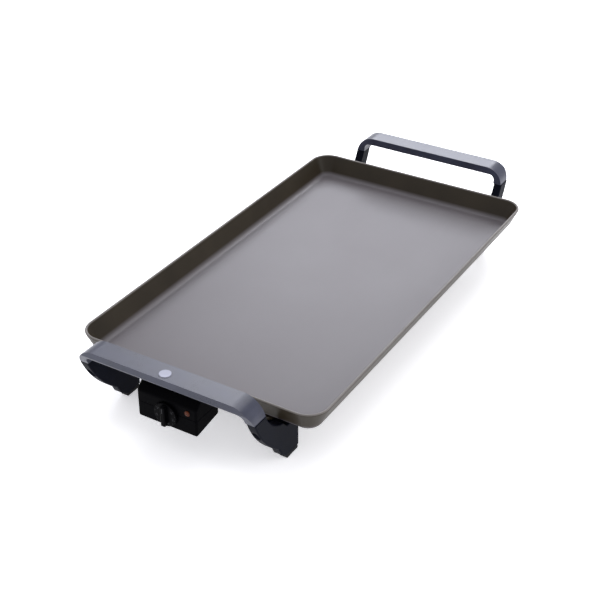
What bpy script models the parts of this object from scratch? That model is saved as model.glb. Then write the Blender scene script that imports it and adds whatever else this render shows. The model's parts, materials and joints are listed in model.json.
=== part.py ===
"""Electric griddle: a cast tray on two black end brackets, with a plug-in heat control.

Metres, +Z up. X runs across the tray and Y along it, with the heat control at the -Y end.
The origin is on the table, under the middle of the tray.
"""

from math import asin, atan2, cos, pi, sin

import bmesh
import bpy
from mathutils import Matrix, Vector

# ---------------------------------------------------------------- driving sizes

FIT = 0.0003                # gap between two pieces that touch
MERGE = 0.00001             # points this close are one point
ROUND_STEPS = 16            # sides of a turned piece
HOLE_STEPS = 12             # sides of a drilled hole

# The tray
TRAY_WIDTH = 0.305
TRAY_LENGTH = 0.533
TRAY_WALL = 0.003
TRAY_CORNER = 0.025
RIM_TOP = 0.076
RIM_HEIGHT = 0.025          # rim above the cooking floor
RIM_FLARE = 0.011           # how far the wall leans out over that height
FLOOR_FILLET = 0.008        # inside radius between the floor and the wall
CORNER_STEPS = 6
FILLET_STEPS = 3
LIP_STEPS = 4
BOSS_RADIUS = 0.005
BOSS_HEIGHT = 0.004

TRAY_END = TRAY_LENGTH / 2
COOKING_FLOOR = RIM_TOP - RIM_HEIGHT
TRAY_UNDERSIDE = COOKING_FLOOR - TRAY_WALL
BOSS_FACE = TRAY_UNDERSIDE - BOSS_HEIGHT

# The legs, given as reach (outwards from the tray's end) and height
LEG_THICKNESS = 0.011
LEG_CENTRE_X = 0.1035
LEG_BACK = -0.037
LEG_EDGE = 0.0015           # rounding of the leg's edges
LEG_SHOULDER = -0.014       # where the leg's top passes under the tray
LEG_TOE = (-0.004, 0.012)   # top of the slope up from the foot's outer end
TOE_FOOT = -0.013
ARM_TOP = 0.080
ARM_INNER = 0.024
ARM_INNER_START = (-0.006, 0.052)
ARM_OUTER = 0.044
ARM_OUTER_START = (0.001, 0.022)
ARM_BULGE = 0.005           # how far each edge of the arm bows towards the table
ARM_STEPS = 7
TAB_INNER_X = 0.077
TAB_THICKNESS = 0.004
TAB_REACH = (-0.036, -0.009)
TAB_TOP = BOSS_FACE - FIT
TAB_SCREW_X = 0.086
TAB_SCREW_REACHES = (-0.029, -0.016)

# The grips, whose ends turn down onto the arms
GRIP_TOP = 0.101
GRIP_THICKNESS = 0.0095
GRIP_LENGTH = 0.218
GRIP_CORNER = 0.024
GRIP_INNER_CORNER = 0.007
GRIP_REACH = (0.025, 0.050)
GRIP_FOOT = ARM_TOP + FIT
GRIP_SHOULDER = 0.094
GRIP_EDGE = 0.0022
GRIP_SCREW_REACH = 0.034
GRIP_SCREW_SEAT = 0.0735
GRIP_SCREW_TOP = 0.085
COUNTERBORE_DEPTH = 0.020

# The feet
PAD_HEIGHT = 0.004
PAD_WIDTH = 0.010
PAD_LENGTH = 0.021
PAD_REACH = -0.0255
PAD_EDGE = 0.0008
PEG_RADIUS = 0.0025
PEG_HEIGHT = 0.004

# Screws and their holes
SCREW_RADIUS = 0.0019
SCREW_HEAD_RADIUS = 0.0036
SCREW_HEAD_HEIGHT = 0.0022
SCREW_BITE = 0.0035         # how far a screw reaches past the sheet it holds
HOLE_RADIUS = SCREW_RADIUS + FIT

# The heating element and what holds it
ELEMENT_RADIUS = 0.0035
ELEMENT_HEIGHT = TRAY_UNDERSIDE - FIT - ELEMENT_RADIUS
ELEMENT_BEND = 0.014
ELEMENT_LANES = (0.034, 0.100)
ELEMENT_END = 0.205
ELEMENT_MIDDLE = -0.150
STRAP_SHEET = 0.001
STRAP_WIDTH = 0.010
STRAP_PLACES = [(x, y) for y in (-0.100, 0.130) for x in (-ELEMENT_LANES[1], ELEMENT_LANES[1])]
STRAP_SCREW_OFFSET = 0.011

# The terminals and their guard
TERMINAL_X = 0.013
TERMINAL_HEIGHT = 0.0415
TERMINAL_Y = -0.244
BEAD_RADIUS = 0.0045
BEAD_LENGTH = 0.008
PIN_RADIUS = 0.002
PIN_TIP = -0.2655
GUARD_SHEET = 0.001
GUARD_HALF_WIDTH = 0.023
GUARD_BOTTOM = 0.0350
GUARD_TOP = 0.0475
GUARD_FRONT = -0.267
GUARD_BACK = -0.247
GUARD_SCREW = (0.029, -0.240)
WELL_RADIUS = 0.0042
WELL_BORE = 0.0033
WELL_END = -0.180

# The heat control
CASE_HALF_WIDTH = 0.037
CASE_FRONT = -0.3085
CASE_BACK = -0.2690
CASE_FRONT_BOTTOM = 0.036
CASE_BACK_BOTTOM = 0.042
CASE_FACET_START = 0.0695
CASE_TOP = 0.0780
CASE_WALL = 0.002
CASE_EDGE = 0.0015
CASE_SPLIT = 0.056
NOSE_HALF_WIDTH = 0.0205
NOSE_ROOT = CASE_BACK - 2 * CASE_WALL
NOSE_BOTTOM = 0.0375
NOSE_TOP = 0.0460
NOSE_TIP = -0.2530
CASE_SCREW = (0.0305, -0.2775)
CASE_SCREW_SEAT = CASE_BACK_BOTTOM + 0.0010
CASE_SCREW_RISE = 0.0075    # how far the screw reaches above the parting line
CASE_HEAD_RADIUS = 0.0027
CASE_HEAD_HEIGHT = 0.0016
POST_RADIUS = 0.0036
DIAL_HEIGHT = 0.0530
DIAL_RADIUS = 0.014
DIAL_SKIRT = 0.0030
DIAL_GRIP = 0.0047
DIAL_BAR_WIDTH = 0.0059
DIAL_BAR_LENGTH = 0.0252
DIAL_BAR_EDGE = 0.0012
DIAL_STEPS = 32
SHAFT_RADIUS = 0.0022
SHAFT_BACK = -0.288
LENS_X = 0.026
LENS_HEIGHT = 0.0630
LENS_RADIUS = 0.0024
LENS_FLANGE = 0.0008
LENS_DOME = 0.0016
BULB_RADIUS = 0.0020
BULB_DEPTHS = (0.0032, 0.0120)
PROBE_RADIUS = 0.0028
PROBE_TIP = -0.186
SLEEVE_BORE = PIN_RADIUS + FIT
SLEEVE_RADIUS = 0.0030
SLEEVE_PROUD = 0.0005       # how far a sleeve's mouth stands out of the nose
SLEEVE_FLOOR = 0.0020
GLAND_Y = -0.287
GLAND_HEIGHT = 0.0485
GLAND_BORE = 0.0033
GLAND_NECK = 0.0045
GLAND_RADIUS = 0.0062
GLAND_LENGTH = 0.0060
GLAND_CHAMFER = 0.0012

# The thermostat inside it
FRAME_SHEET = 0.0012
FRAME_HALF_WIDTH = 0.016
FRAME_Y = (-0.2935, -0.2760)
FRAME_FLOOR = 0.0445
FRAME_TOP = 0.0620
BLOCK_Y = (-0.2865, -0.2785)
BLOCK_SEAT_X = (-0.0052, 0.0060)
BLOCK_SEAT = 0.0510         # height that carries the bimetal blade
BLOCK_STEP_X = (-0.0100, -0.0046)
BLOCK_STEP = 0.0539         # height that carries the contact blade
BLADE_Y = (-0.2860, -0.2800)
BIMETAL_X = (-0.004, 0.018)
BIMETAL_SHEET = 0.0008
CONTACT_X = (-0.0095, 0.0040)
CONTACT_SHEET = 0.0006

# The badge on the front grip
BADGE_RADIUS = 0.0065
BADGE_REACH = 0.040
BADGE_THICKNESS = 0.0012
BADGE_RECESS = 0.0008

# Directions that a turned piece's own +Z is laid along
UP = Matrix.Identity(4)
FORWARD = Matrix.Rotation(pi / 2, 4, "X")       # towards -Y, out of the control's face
LEFT = Matrix.Rotation(-pi / 2, 4, "Y")         # towards -X


# ---------------------------------------------------------------- scene and materials

def start_scene():
    """Empty the scene and add one collection for the griddle and one for its cutters."""
    for old in list(bpy.data.objects):
        bpy.data.objects.remove(old, do_unlink=True)
    made = []
    for name in ("electric_griddle", "cutters"):
        collection = bpy.data.collections.new(name)
        bpy.context.scene.collection.children.link(collection)
        made.append(collection)
    return made


GRIDDLE, CUTTERS = start_scene()

FINISHES = {
    "satin_plate": ((0.27, 0.25, 0.28), 0.45, 0.6),
    "element_steel": ((0.16, 0.16, 0.15), 0.55, 0.9),
    "zinc_steel": ((0.55, 0.56, 0.57), 0.35, 1.0),
    "stainless": ((0.60, 0.60, 0.60), 0.25, 1.0),
    "brass": ((0.72, 0.52, 0.22), 0.30, 1.0),
    "ceramic": ((0.85, 0.82, 0.76), 0.60, 0.0),
    "black_phenolic": ((0.012, 0.013, 0.020), 0.35, 0.0),
    "black_case": ((0.006, 0.006, 0.008), 0.40, 0.0),
    "black_rubber": ((0.015, 0.015, 0.015), 0.85, 0.0),
    "satin_silver": ((0.62, 0.62, 0.68), 0.30, 0.9),
    "amber_lens": ((0.70, 0.18, 0.03), 0.15, 0.0),
    "clear_glass": ((0.80, 0.80, 0.80), 0.05, 0.0),
}


def finish_material(piece_name, finish):
    """A Principled material of the named finish, made for one piece."""
    colour, roughness, metallic = FINISHES[finish]
    material = bpy.data.materials.new(f"{piece_name}_{finish}")
    material.use_nodes = True
    shader = material.node_tree.nodes["Principled BSDF"]
    shader.inputs["Base Color"].default_value = (*colour, 1.0)
    shader.inputs["Roughness"].default_value = roughness
    shader.inputs["Metallic"].default_value = metallic
    return material


# ---------------------------------------------------------------- building helpers

def add_piece(name, mesh, finish, place=UP):
    """Put a mesh in the griddle's collection, or with no finish among the cutters."""
    piece = bpy.data.objects.new(name, mesh)
    piece.matrix_world = place
    if finish is None:
        CUTTERS.objects.link(piece)
        piece.hide_render = True
        piece.display_type = "WIRE"
    else:
        GRIDDLE.objects.link(piece)
        piece.data.materials.append(finish_material(name, finish))
    return piece


def mesh_from(bm, name):
    """Close a bmesh into mesh data with its faces pointing out."""
    bmesh.ops.recalc_face_normals(bm, faces=bm.faces)
    mesh = bpy.data.meshes.new(name)
    bm.to_mesh(mesh)
    bm.free()
    return mesh


def bevel(piece, width, segments=2):
    """Round a piece's sharp edges."""
    rounding = piece.modifiers.new("Rounded edges", "BEVEL")
    rounding.width = width
    rounding.segments = segments
    rounding.limit_method = "ANGLE"


def combine(piece, other, operation):
    """Cut a piece by another mesh, or join that mesh to it."""
    boolean = piece.modifiers.new(operation.title(), "BOOLEAN")
    boolean.operation = operation
    boolean.object = other
    boolean.solver = "EXACT"


def block(name, lowest, highest, finish=None):
    """A box between two corners."""
    low = Vector(lowest)
    high = Vector(highest)
    size = high - low
    bm = bmesh.new()
    bmesh.ops.create_cube(bm, size=1.0, matrix=Matrix.Diagonal((*size, 1.0)))
    return add_piece(name, mesh_from(bm, name), finish, Matrix.Translation((low + high) / 2))


def rods(name, radius, ends, finish=None):
    """Straight round rods, one for each pair of end points, in one mesh."""
    bm = bmesh.new()
    for start, end in ends:
        along = Vector(end) - Vector(start)
        middle = Matrix.Translation((Vector(start) + Vector(end)) / 2)
        turn = along.to_track_quat("Z", "Y").to_matrix().to_4x4()
        bmesh.ops.create_cone(bm, cap_ends=True, segments=HOLE_STEPS, radius1=radius, radius2=radius,
                              depth=along.length, matrix=middle @ turn)
    return add_piece(name, mesh_from(bm, name), finish)


def turned(name, profile, finish, place, steps=ROUND_STEPS):
    """A turned piece. The profile is (radius, height), running down its outer side."""
    mesh = bpy.data.meshes.new(name)
    points = [(radius, 0.0, height) for radius, height in profile]
    mesh.from_pydata(points, [(i, i + 1) for i in range(len(points) - 1)], [])
    piece = add_piece(name, mesh, finish, place)
    spin = piece.modifiers.new("Turned", "SCREW")
    spin.steps = steps
    spin.render_steps = steps
    spin.use_merge_vertices = True
    spin.merge_threshold = MERGE
    spin.use_smooth_shade = True
    return piece


def curve_to_piece(name, curve, finish, place, smooth=False):
    """Turn a curve into a closed mesh piece and drop the curve."""
    curve_object = bpy.data.objects.new(name + "_curve", curve)
    GRIDDLE.objects.link(curve_object)
    curve_object.matrix_world = place
    evaluated = curve_object.evaluated_get(bpy.context.evaluated_depsgraph_get())
    bm = bmesh.new()
    bm.from_mesh(bpy.data.meshes.new_from_object(evaluated))
    bmesh.ops.remove_doubles(bm, verts=bm.verts, dist=MERGE)
    bpy.data.objects.remove(curve_object, do_unlink=True)
    mesh = mesh_from(bm, name)
    if smooth:
        mesh.shade_smooth()
    return add_piece(name, mesh, finish, place)


def plate_from_outline(name, outline, thickness, finish, place):
    """A flat piece: an outline in its own XY plane, with its thickness along its own Z."""
    curve = bpy.data.curves.new(name, "CURVE")
    curve.dimensions = "2D"
    curve.fill_mode = "BOTH"
    curve.extrude = thickness / 2
    spline = curve.splines.new("POLY")
    spline.points.add(len(outline) - 1)
    for point, (x, y) in zip(spline.points, outline):
        point.co = (x, y, 0.0, 1.0)
    spline.use_cyclic_u = True
    return curve_to_piece(name, curve, finish, place)


def bulged(start, end, bulge):
    """Points along an arc from start to end, bulging to the left of that direction."""
    a = Vector(start)
    b = Vector(end)
    half = (b - a).length / 2
    radius = (half * half + bulge * bulge) / (2 * bulge)
    left = Vector((-(b - a).y, (b - a).x)).normalized()
    centre = (a + b) / 2 + left * (bulge - radius)
    first = atan2(a.y - centre.y, a.x - centre.x)
    last = atan2(b.y - centre.y, b.x - centre.x)
    sweep = (last - first + pi) % (2 * pi) - pi
    angles = [first + sweep * i / ARM_STEPS for i in range(ARM_STEPS + 1)]
    return [(centre.x + abs(radius) * cos(t), centre.y + abs(radius) * sin(t)) for t in angles]


def corner_arc(centre, radius, first, last, steps):
    """Points on a circle between two angles."""
    angles = [first + (last - first) * i / steps for i in range(steps + 1)]
    return [(centre[0] + radius * cos(t), centre[1] + radius * sin(t)) for t in angles]


def side_on(x):
    """Stands a (reach, height) outline upright at the front end, at one X."""
    return Matrix(((0, 0, -1, x), (-1, 0, 0, -TRAY_END), (0, 1, 0, 0), (0, 0, 0, 1)))


def end_places():
    """The two ends of the tray: their names, and the turn that takes the front end's pieces there."""
    return (("front", UP), ("rear", Matrix.Rotation(pi, 4, "Z")))


def reach_to_y(reach):
    """The front end's Y for a reach outwards from the tray's end."""
    return -(TRAY_END + reach)


# ---------------------------------------------------------------- the tray

def rounded_rectangle(inset, height):
    """The tray's outline, moved in by an inset, at one height."""
    half_x = TRAY_WIDTH / 2 - TRAY_CORNER
    half_y = TRAY_LENGTH / 2 - TRAY_CORNER
    radius = TRAY_CORNER - inset
    corners = ((half_x, half_y), (-half_x, half_y), (-half_x, -half_y), (half_x, -half_y))
    points = []
    for quarter, centre in enumerate(corners):
        first = quarter * pi / 2
        points += corner_arc(centre, radius, first, first + pi / 2, CORNER_STEPS)
    return [(x, y, height) for x, y in points]


def tray_section():
    """(inset, height) round the wall, from the underside over the lip to the cooking floor."""
    lean = atan2(RIM_FLARE, RIM_HEIGHT)
    inward = Vector((cos(lean), sin(lean)))
    down_wall = Vector((sin(lean), -cos(lean)))
    half_wall = TRAY_WALL / 2
    lip = Vector((half_wall, RIM_TOP - half_wall))
    fillet_height = COOKING_FLOOR + FLOOR_FILLET
    offset = inward * (FLOOR_FILLET + half_wall)
    run = (lip.y + offset.y - fillet_height) / cos(lean)
    centre = lip + down_wall * run + offset
    outer = corner_arc(centre, FLOOR_FILLET + TRAY_WALL, -pi / 2, lean - pi, FILLET_STEPS)
    over = corner_arc(lip, half_wall, pi + lean, lean, LIP_STEPS)
    inner = corner_arc(centre, FLOOR_FILLET, lean - pi, -pi / 2, FILLET_STEPS)
    return outer + over + inner


def make_tray():
    """The cast cooking tray, with the screw bosses under it."""
    bm = bmesh.new()
    rings = []
    for inset, height in tray_section():
        corners = [bm.verts.new(point) for point in rounded_rectangle(inset, height)]
        rings.append([bm.edges.new((corners[i - 1], corners[i])) for i in range(len(corners))])
    for lower, upper in zip(rings, rings[1:]):
        bmesh.ops.bridge_loops(bm, edges=lower + upper)
    bmesh.ops.edgeloop_fill(bm, edges=rings[0])
    bmesh.ops.edgeloop_fill(bm, edges=rings[-1])
    tray = add_piece("cooking_tray", mesh_from(bm, "cooking_tray"), "satin_plate")
    places = [(turn @ Vector((side * TAB_SCREW_X, reach_to_y(reach), 0.0))).to_2d()
              for _, turn in end_places() for side in (-1, 1) for reach in TAB_SCREW_REACHES]
    places += [Vector(strap_screw_place(*place)) for place in STRAP_PLACES]
    places += [Vector((side * GUARD_SCREW[0], GUARD_SCREW[1])) for side in (-1, 1)]
    bosses = [((x, y, BOSS_FACE), (x, y, TRAY_UNDERSIDE + FIT)) for x, y in places]
    holes = [((x, y, BOSS_FACE - FIT), (x, y, TRAY_UNDERSIDE)) for x, y in places]
    combine(tray, rods("tray_bosses", BOSS_RADIUS, bosses), "UNION")
    combine(tray, rods("tray_screw_holes", HOLE_RADIUS, holes), "DIFFERENCE")


# ---------------------------------------------------------------- screws

def screw(name, x, y, seat, length, turn=UP):
    """A pan-head screw driven upwards, with its head under the seat."""
    head_top = seat - FIT
    head_bottom = head_top - SCREW_HEAD_HEIGHT
    chamfer = SCREW_HEAD_HEIGHT / 3
    profile = [
        (0.0, head_top + length),
        (SCREW_RADIUS, head_top + length),
        (SCREW_RADIUS, head_top),
        (SCREW_HEAD_RADIUS, head_top),
        (SCREW_HEAD_RADIUS, head_bottom + chamfer),
        (SCREW_HEAD_RADIUS - chamfer, head_bottom),
        (0.0, head_bottom),
    ]
    return turned(name, profile, "zinc_steel", turn @ Matrix.Translation((x, y, 0.0)), HOLE_STEPS)


# ---------------------------------------------------------------- legs, feet and grips

def leg_outline():
    """(reach, height) round a leg and the arm that carries the grip."""
    foot = PAD_HEIGHT + FIT
    outline = bulged((ARM_INNER, ARM_TOP), ARM_INNER_START, ARM_BULGE)
    outline += [(LEG_SHOULDER, TAB_TOP), (LEG_BACK, TAB_TOP), (LEG_BACK, foot), (TOE_FOOT, foot), LEG_TOE]
    outline += bulged(ARM_OUTER_START, (ARM_OUTER, ARM_TOP), -ARM_BULGE)
    return outline


def make_leg(end, turn, side_name, side):
    """A moulded leg with its arm, its screw tab under the tray, and its drilled holes."""
    name = f"{end}_{side_name}_leg"
    x = side * LEG_CENTRE_X
    leg = plate_from_outline(name, leg_outline(), LEG_THICKNESS, "black_phenolic", turn @ side_on(x))
    bevel(leg, LEG_EDGE)
    tab_root = LEG_CENTRE_X - LEG_THICKNESS / 4
    tab_x = sorted((side * TAB_INNER_X, side * tab_root))
    tab = block(name + "_tab", (tab_x[0], reach_to_y(TAB_REACH[1]), TAB_TOP - TAB_THICKNESS),
                (tab_x[1], reach_to_y(TAB_REACH[0]), TAB_TOP))
    tab.matrix_world = turn @ tab.matrix_world
    combine(leg, tab, "UNION")
    grip_y = reach_to_y(GRIP_SCREW_REACH)
    drilled = [((side * TAB_SCREW_X, reach_to_y(reach), TAB_TOP - 2 * TAB_THICKNESS),
                (side * TAB_SCREW_X, reach_to_y(reach), TAB_TOP + FIT)) for reach in TAB_SCREW_REACHES]
    drilled.append(((x, grip_y, GRIP_SCREW_SEAT - FIT), (x, grip_y, ARM_TOP + FIT)))
    pad_y = reach_to_y(PAD_REACH)
    wide = [((x, grip_y, GRIP_SCREW_SEAT - COUNTERBORE_DEPTH), (x, grip_y, GRIP_SCREW_SEAT))]
    peg_hole = [((x, pad_y, 0.0), (x, pad_y, PAD_HEIGHT + PEG_HEIGHT + 2 * FIT))]
    for suffix, radius, ends in (("_holes", HOLE_RADIUS, drilled),
                                 ("_counterbore", SCREW_HEAD_RADIUS + 2 * FIT, wide),
                                 ("_peg_hole", PEG_RADIUS + FIT, peg_hole)):
        cutter = rods(name + suffix, radius, ends)
        cutter.matrix_world = turn
        combine(leg, cutter, "DIFFERENCE")


def make_foot(end, turn, side_name, side):
    """A rubber foot pad with the peg that holds it in the leg."""
    name = f"{end}_{side_name}_foot"
    x = side * LEG_CENTRE_X
    y = reach_to_y(PAD_REACH)
    pad = block(name, (x - PAD_WIDTH / 2, y - PAD_LENGTH / 2, 0.0),
                (x + PAD_WIDTH / 2, y + PAD_LENGTH / 2, PAD_HEIGHT), "black_rubber")
    pad.matrix_world = turn @ pad.matrix_world
    bevel(pad, PAD_EDGE)
    peg = rods(name + "_peg", PEG_RADIUS, [((x, y, PAD_HEIGHT / 2), (x, y, PAD_HEIGHT + PEG_HEIGHT))])
    peg.matrix_world = turn
    combine(pad, peg, "UNION")


def grip_side_outline():
    """(reach, height) round a grip seen from the side: its ends lean in to meet the arms."""
    inner, outer = GRIP_REACH
    above = GRIP_TOP + GRIP_THICKNESS
    below = GRIP_FOOT - FIT
    return [(ARM_INNER, below), (ARM_OUTER, below), (outer, GRIP_SHOULDER), (outer, above),
            (inner, above), (inner, GRIP_SHOULDER)]


def make_grip(end, turn):
    """The grip bar over one end: a staple shape whose ends stand on the two arms."""
    half = GRIP_LENGTH / 2
    inner_x = LEG_CENTRE_X - LEG_THICKNESS / 2
    outer_centre = Vector((half - GRIP_CORNER, GRIP_TOP - GRIP_CORNER))
    inner_centre = Vector((inner_x, GRIP_TOP - GRIP_THICKNESS)) - Vector((GRIP_INNER_CORNER,) * 2)
    foot_angle = asin((GRIP_FOOT - outer_centre.y) / GRIP_CORNER)
    right = [(inner_x, GRIP_FOOT)]
    right += corner_arc(outer_centre, GRIP_CORNER, foot_angle, pi / 2, ARM_STEPS)
    inside = corner_arc(inner_centre, GRIP_INNER_CORNER, pi / 2, 0.0, 4)
    outline = right + [(-x, z) for x, z in reversed(right)]
    outline += [(-x, z) for x, z in reversed(inside)] + inside
    depth = 2 * GRIP_REACH[1]
    middle_y = reach_to_y(sum(GRIP_REACH) / 2)
    place = turn @ Matrix.Translation((0.0, middle_y, 0.0)) @ FORWARD
    grip = plate_from_outline(f"{end}_grip", outline, depth, "black_phenolic", place)
    side_shape = plate_from_outline(f"{end}_grip_side", grip_side_outline(), 2 * GRIP_LENGTH, None,
                                    turn @ side_on(0.0))
    combine(grip, side_shape, "INTERSECT")
    bevel(grip, GRIP_EDGE)
    screw_y = reach_to_y(GRIP_SCREW_REACH)
    holes = [((side * LEG_CENTRE_X, screw_y, GRIP_FOOT - FIT),
              (side * LEG_CENTRE_X, screw_y, GRIP_SCREW_TOP + FIT)) for side in (-1, 1)]
    cutter = rods(f"{end}_grip_holes", HOLE_RADIUS, holes)
    cutter.matrix_world = turn
    combine(grip, cutter, "DIFFERENCE")
    if end == "front":
        badge_y = reach_to_y(BADGE_REACH)
        recess = [((0.0, badge_y, GRIP_TOP - BADGE_RECESS), (0.0, badge_y, GRIP_TOP + BADGE_RECESS))]
        combine(grip, rods("badge_recess", BADGE_RADIUS + FIT, recess), "DIFFERENCE")


def make_badge():
    """A plain round badge set in the top of the front grip."""
    bottom = GRIP_TOP - BADGE_RECESS + FIT
    top = bottom + BADGE_THICKNESS
    edge = BADGE_THICKNESS / 3
    profile = [(0.0, top), (BADGE_RADIUS - edge, top), (BADGE_RADIUS, top - edge),
               (BADGE_RADIUS, bottom), (0.0, bottom)]
    turned("grip_badge", profile, "satin_silver",
           Matrix.Translation((0.0, reach_to_y(BADGE_REACH), 0.0)))


def make_ends():
    """Both end brackets: two legs, two feet and a grip each, and their screws."""
    for end, turn in end_places():
        make_grip(end, turn)
        for side_name, side in (("left", -1), ("right", 1)):
            label = f"{end}_{side_name}"
            make_leg(end, turn, side_name, side)
            make_foot(end, turn, side_name, side)
            screw(f"{label}_grip_screw", side * LEG_CENTRE_X, reach_to_y(GRIP_SCREW_REACH),
                  GRIP_SCREW_SEAT, GRIP_SCREW_TOP - GRIP_SCREW_SEAT, turn)
            for number, reach in enumerate(TAB_SCREW_REACHES, start=1):
                screw(f"{label}_leg_screw_{number}", side * TAB_SCREW_X, reach_to_y(reach),
                      TAB_TOP - TAB_THICKNESS, TAB_THICKNESS + SCREW_BITE, turn)


# ---------------------------------------------------------------- heating element

def rounded_route(corners, radius, steps):
    """A route through corner points, with each inner corner turned on a smooth bend."""
    points = [Vector(corners[0])]
    for before, corner, after in zip(corners, corners[1:], corners[2:]):
        middle = Vector(corner)
        to_before = (Vector(before) - middle).normalized()
        to_after = (Vector(after) - middle).normalized()
        for i in range(steps + 1):
            t = i / steps
            start = middle + to_before * radius
            end = middle + to_after * radius
            points.append(start * (1 - t) ** 2 + middle * (2 * t * (1 - t)) + end * t ** 2)
    points.append(Vector(corners[-1]))
    return points


def make_element():
    """The tubular heating element: one rod bent into an M under the tray, with its ends at the front."""
    inner, outer = ELEMENT_LANES
    half = [(TERMINAL_X, TERMINAL_Y, TERMINAL_HEIGHT), (TERMINAL_X, -ELEMENT_END, ELEMENT_HEIGHT),
            (outer, -ELEMENT_END, ELEMENT_HEIGHT), (outer, ELEMENT_END, ELEMENT_HEIGHT),
            (inner, ELEMENT_END, ELEMENT_HEIGHT), (inner, ELEMENT_MIDDLE, ELEMENT_HEIGHT)]
    corners = half + [(-x, y, z) for x, y, z in reversed(half)]
    route = rounded_route(corners, ELEMENT_BEND, 4)
    curve = bpy.data.curves.new("heating_element", "CURVE")
    curve.dimensions = "3D"
    curve.bevel_depth = ELEMENT_RADIUS
    curve.bevel_resolution = 2
    curve.use_fill_caps = True
    spline = curve.splines.new("POLY")
    spline.points.add(len(route) - 1)
    for point, place in zip(spline.points, route):
        point.co = (*place, 1.0)
    curve_to_piece("heating_element", curve, "element_steel", UP, smooth=True)


def strap_screw_place(x, y):
    """Where a strap's screw goes, on the side nearer the tray's middle."""
    inward = -1 if x > 0 else 1
    return (x + inward * STRAP_SCREW_OFFSET, y)


def strap_outline():
    """A strap's section: a hook round the element, and a flat wing for its screw."""
    bore = ELEMENT_RADIUS + FIT
    outside = bore + STRAP_SHEET
    wing_top = TAB_TOP - ELEMENT_HEIGHT
    wing_bottom = wing_top - STRAP_SHEET
    wing_end = STRAP_SCREW_OFFSET + BOSS_RADIUS
    wing_angle = atan2(wing_top, (bore * bore - wing_top * wing_top) ** 0.5)
    under_angle = atan2(wing_bottom, (outside * outside - wing_bottom * wing_bottom) ** 0.5)
    hook = corner_arc((0.0, 0.0), bore, wing_angle, -pi, 10)
    back = corner_arc((0.0, 0.0), outside, -pi, under_angle, 10)
    return [(wing_end, wing_top)] + hook + back + [(wing_end, wing_bottom)]


def make_straps():
    """Four steel straps that hold the element up against the tray, with their screws."""
    for number, (x, y) in enumerate(STRAP_PLACES, start=1):
        facing = FORWARD if x < 0 else Matrix.Rotation(pi, 4, "Z") @ FORWARD
        place = Matrix.Translation((x, y, ELEMENT_HEIGHT)) @ facing
        strap = plate_from_outline(f"element_strap_{number}", strap_outline(), STRAP_WIDTH,
                                   "zinc_steel", place)
        screw_x, screw_y = strap_screw_place(x, y)
        hole = [((screw_x, screw_y, BOSS_FACE - BOSS_HEIGHT), (screw_x, screw_y, BOSS_FACE))]
        combine(strap, rods(f"strap_{number}_hole", HOLE_RADIUS, hole), "DIFFERENCE")
        screw(f"strap_screw_{number}", screw_x, screw_y, TAB_TOP - STRAP_SHEET,
              STRAP_SHEET + SCREW_BITE)


# ---------------------------------------------------------------- terminals

def at_terminal(x, y):
    """A place on the terminals' height, with the piece's +Z towards the front."""
    return Matrix.Translation((x, y, TERMINAL_HEIGHT)) @ FORWARD


def make_terminals():
    """The element's two pins in their ceramic beads, and the well for the control's probe."""
    for side_name, side in (("left", -1), ("right", 1)):
        place = at_terminal(side * TERMINAL_X, TERMINAL_Y - FIT)
        bore = PIN_RADIUS + FIT
        bead = [(bore, BEAD_LENGTH), (BEAD_RADIUS, BEAD_LENGTH), (BEAD_RADIUS, 0.0), (bore, 0.0),
                (bore, BEAD_LENGTH)]
        turned(f"{side_name}_terminal_bead", bead, "ceramic", place)
        tip = TERMINAL_Y - FIT - PIN_TIP
        nose = PIN_RADIUS / 2
        pin = [(0.0, tip), (nose, tip), (PIN_RADIUS, tip - nose), (PIN_RADIUS, FIT), (0.0, FIT)]
        turned(f"{side_name}_terminal_pin", pin, "stainless", place, HOLE_STEPS)
    depth = WELL_END - GUARD_BACK - FIT
    well = [(WELL_BORE, 0.0), (WELL_RADIUS, 0.0), (WELL_RADIUS, -depth), (0.0, -depth),
            (0.0, TRAY_WALL / 2 - depth), (WELL_BORE, TRAY_WALL / 2 - depth), (WELL_BORE, 0.0)]
    turned("probe_well", well, "zinc_steel", at_terminal(0.0, GUARD_BACK + FIT))


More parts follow.
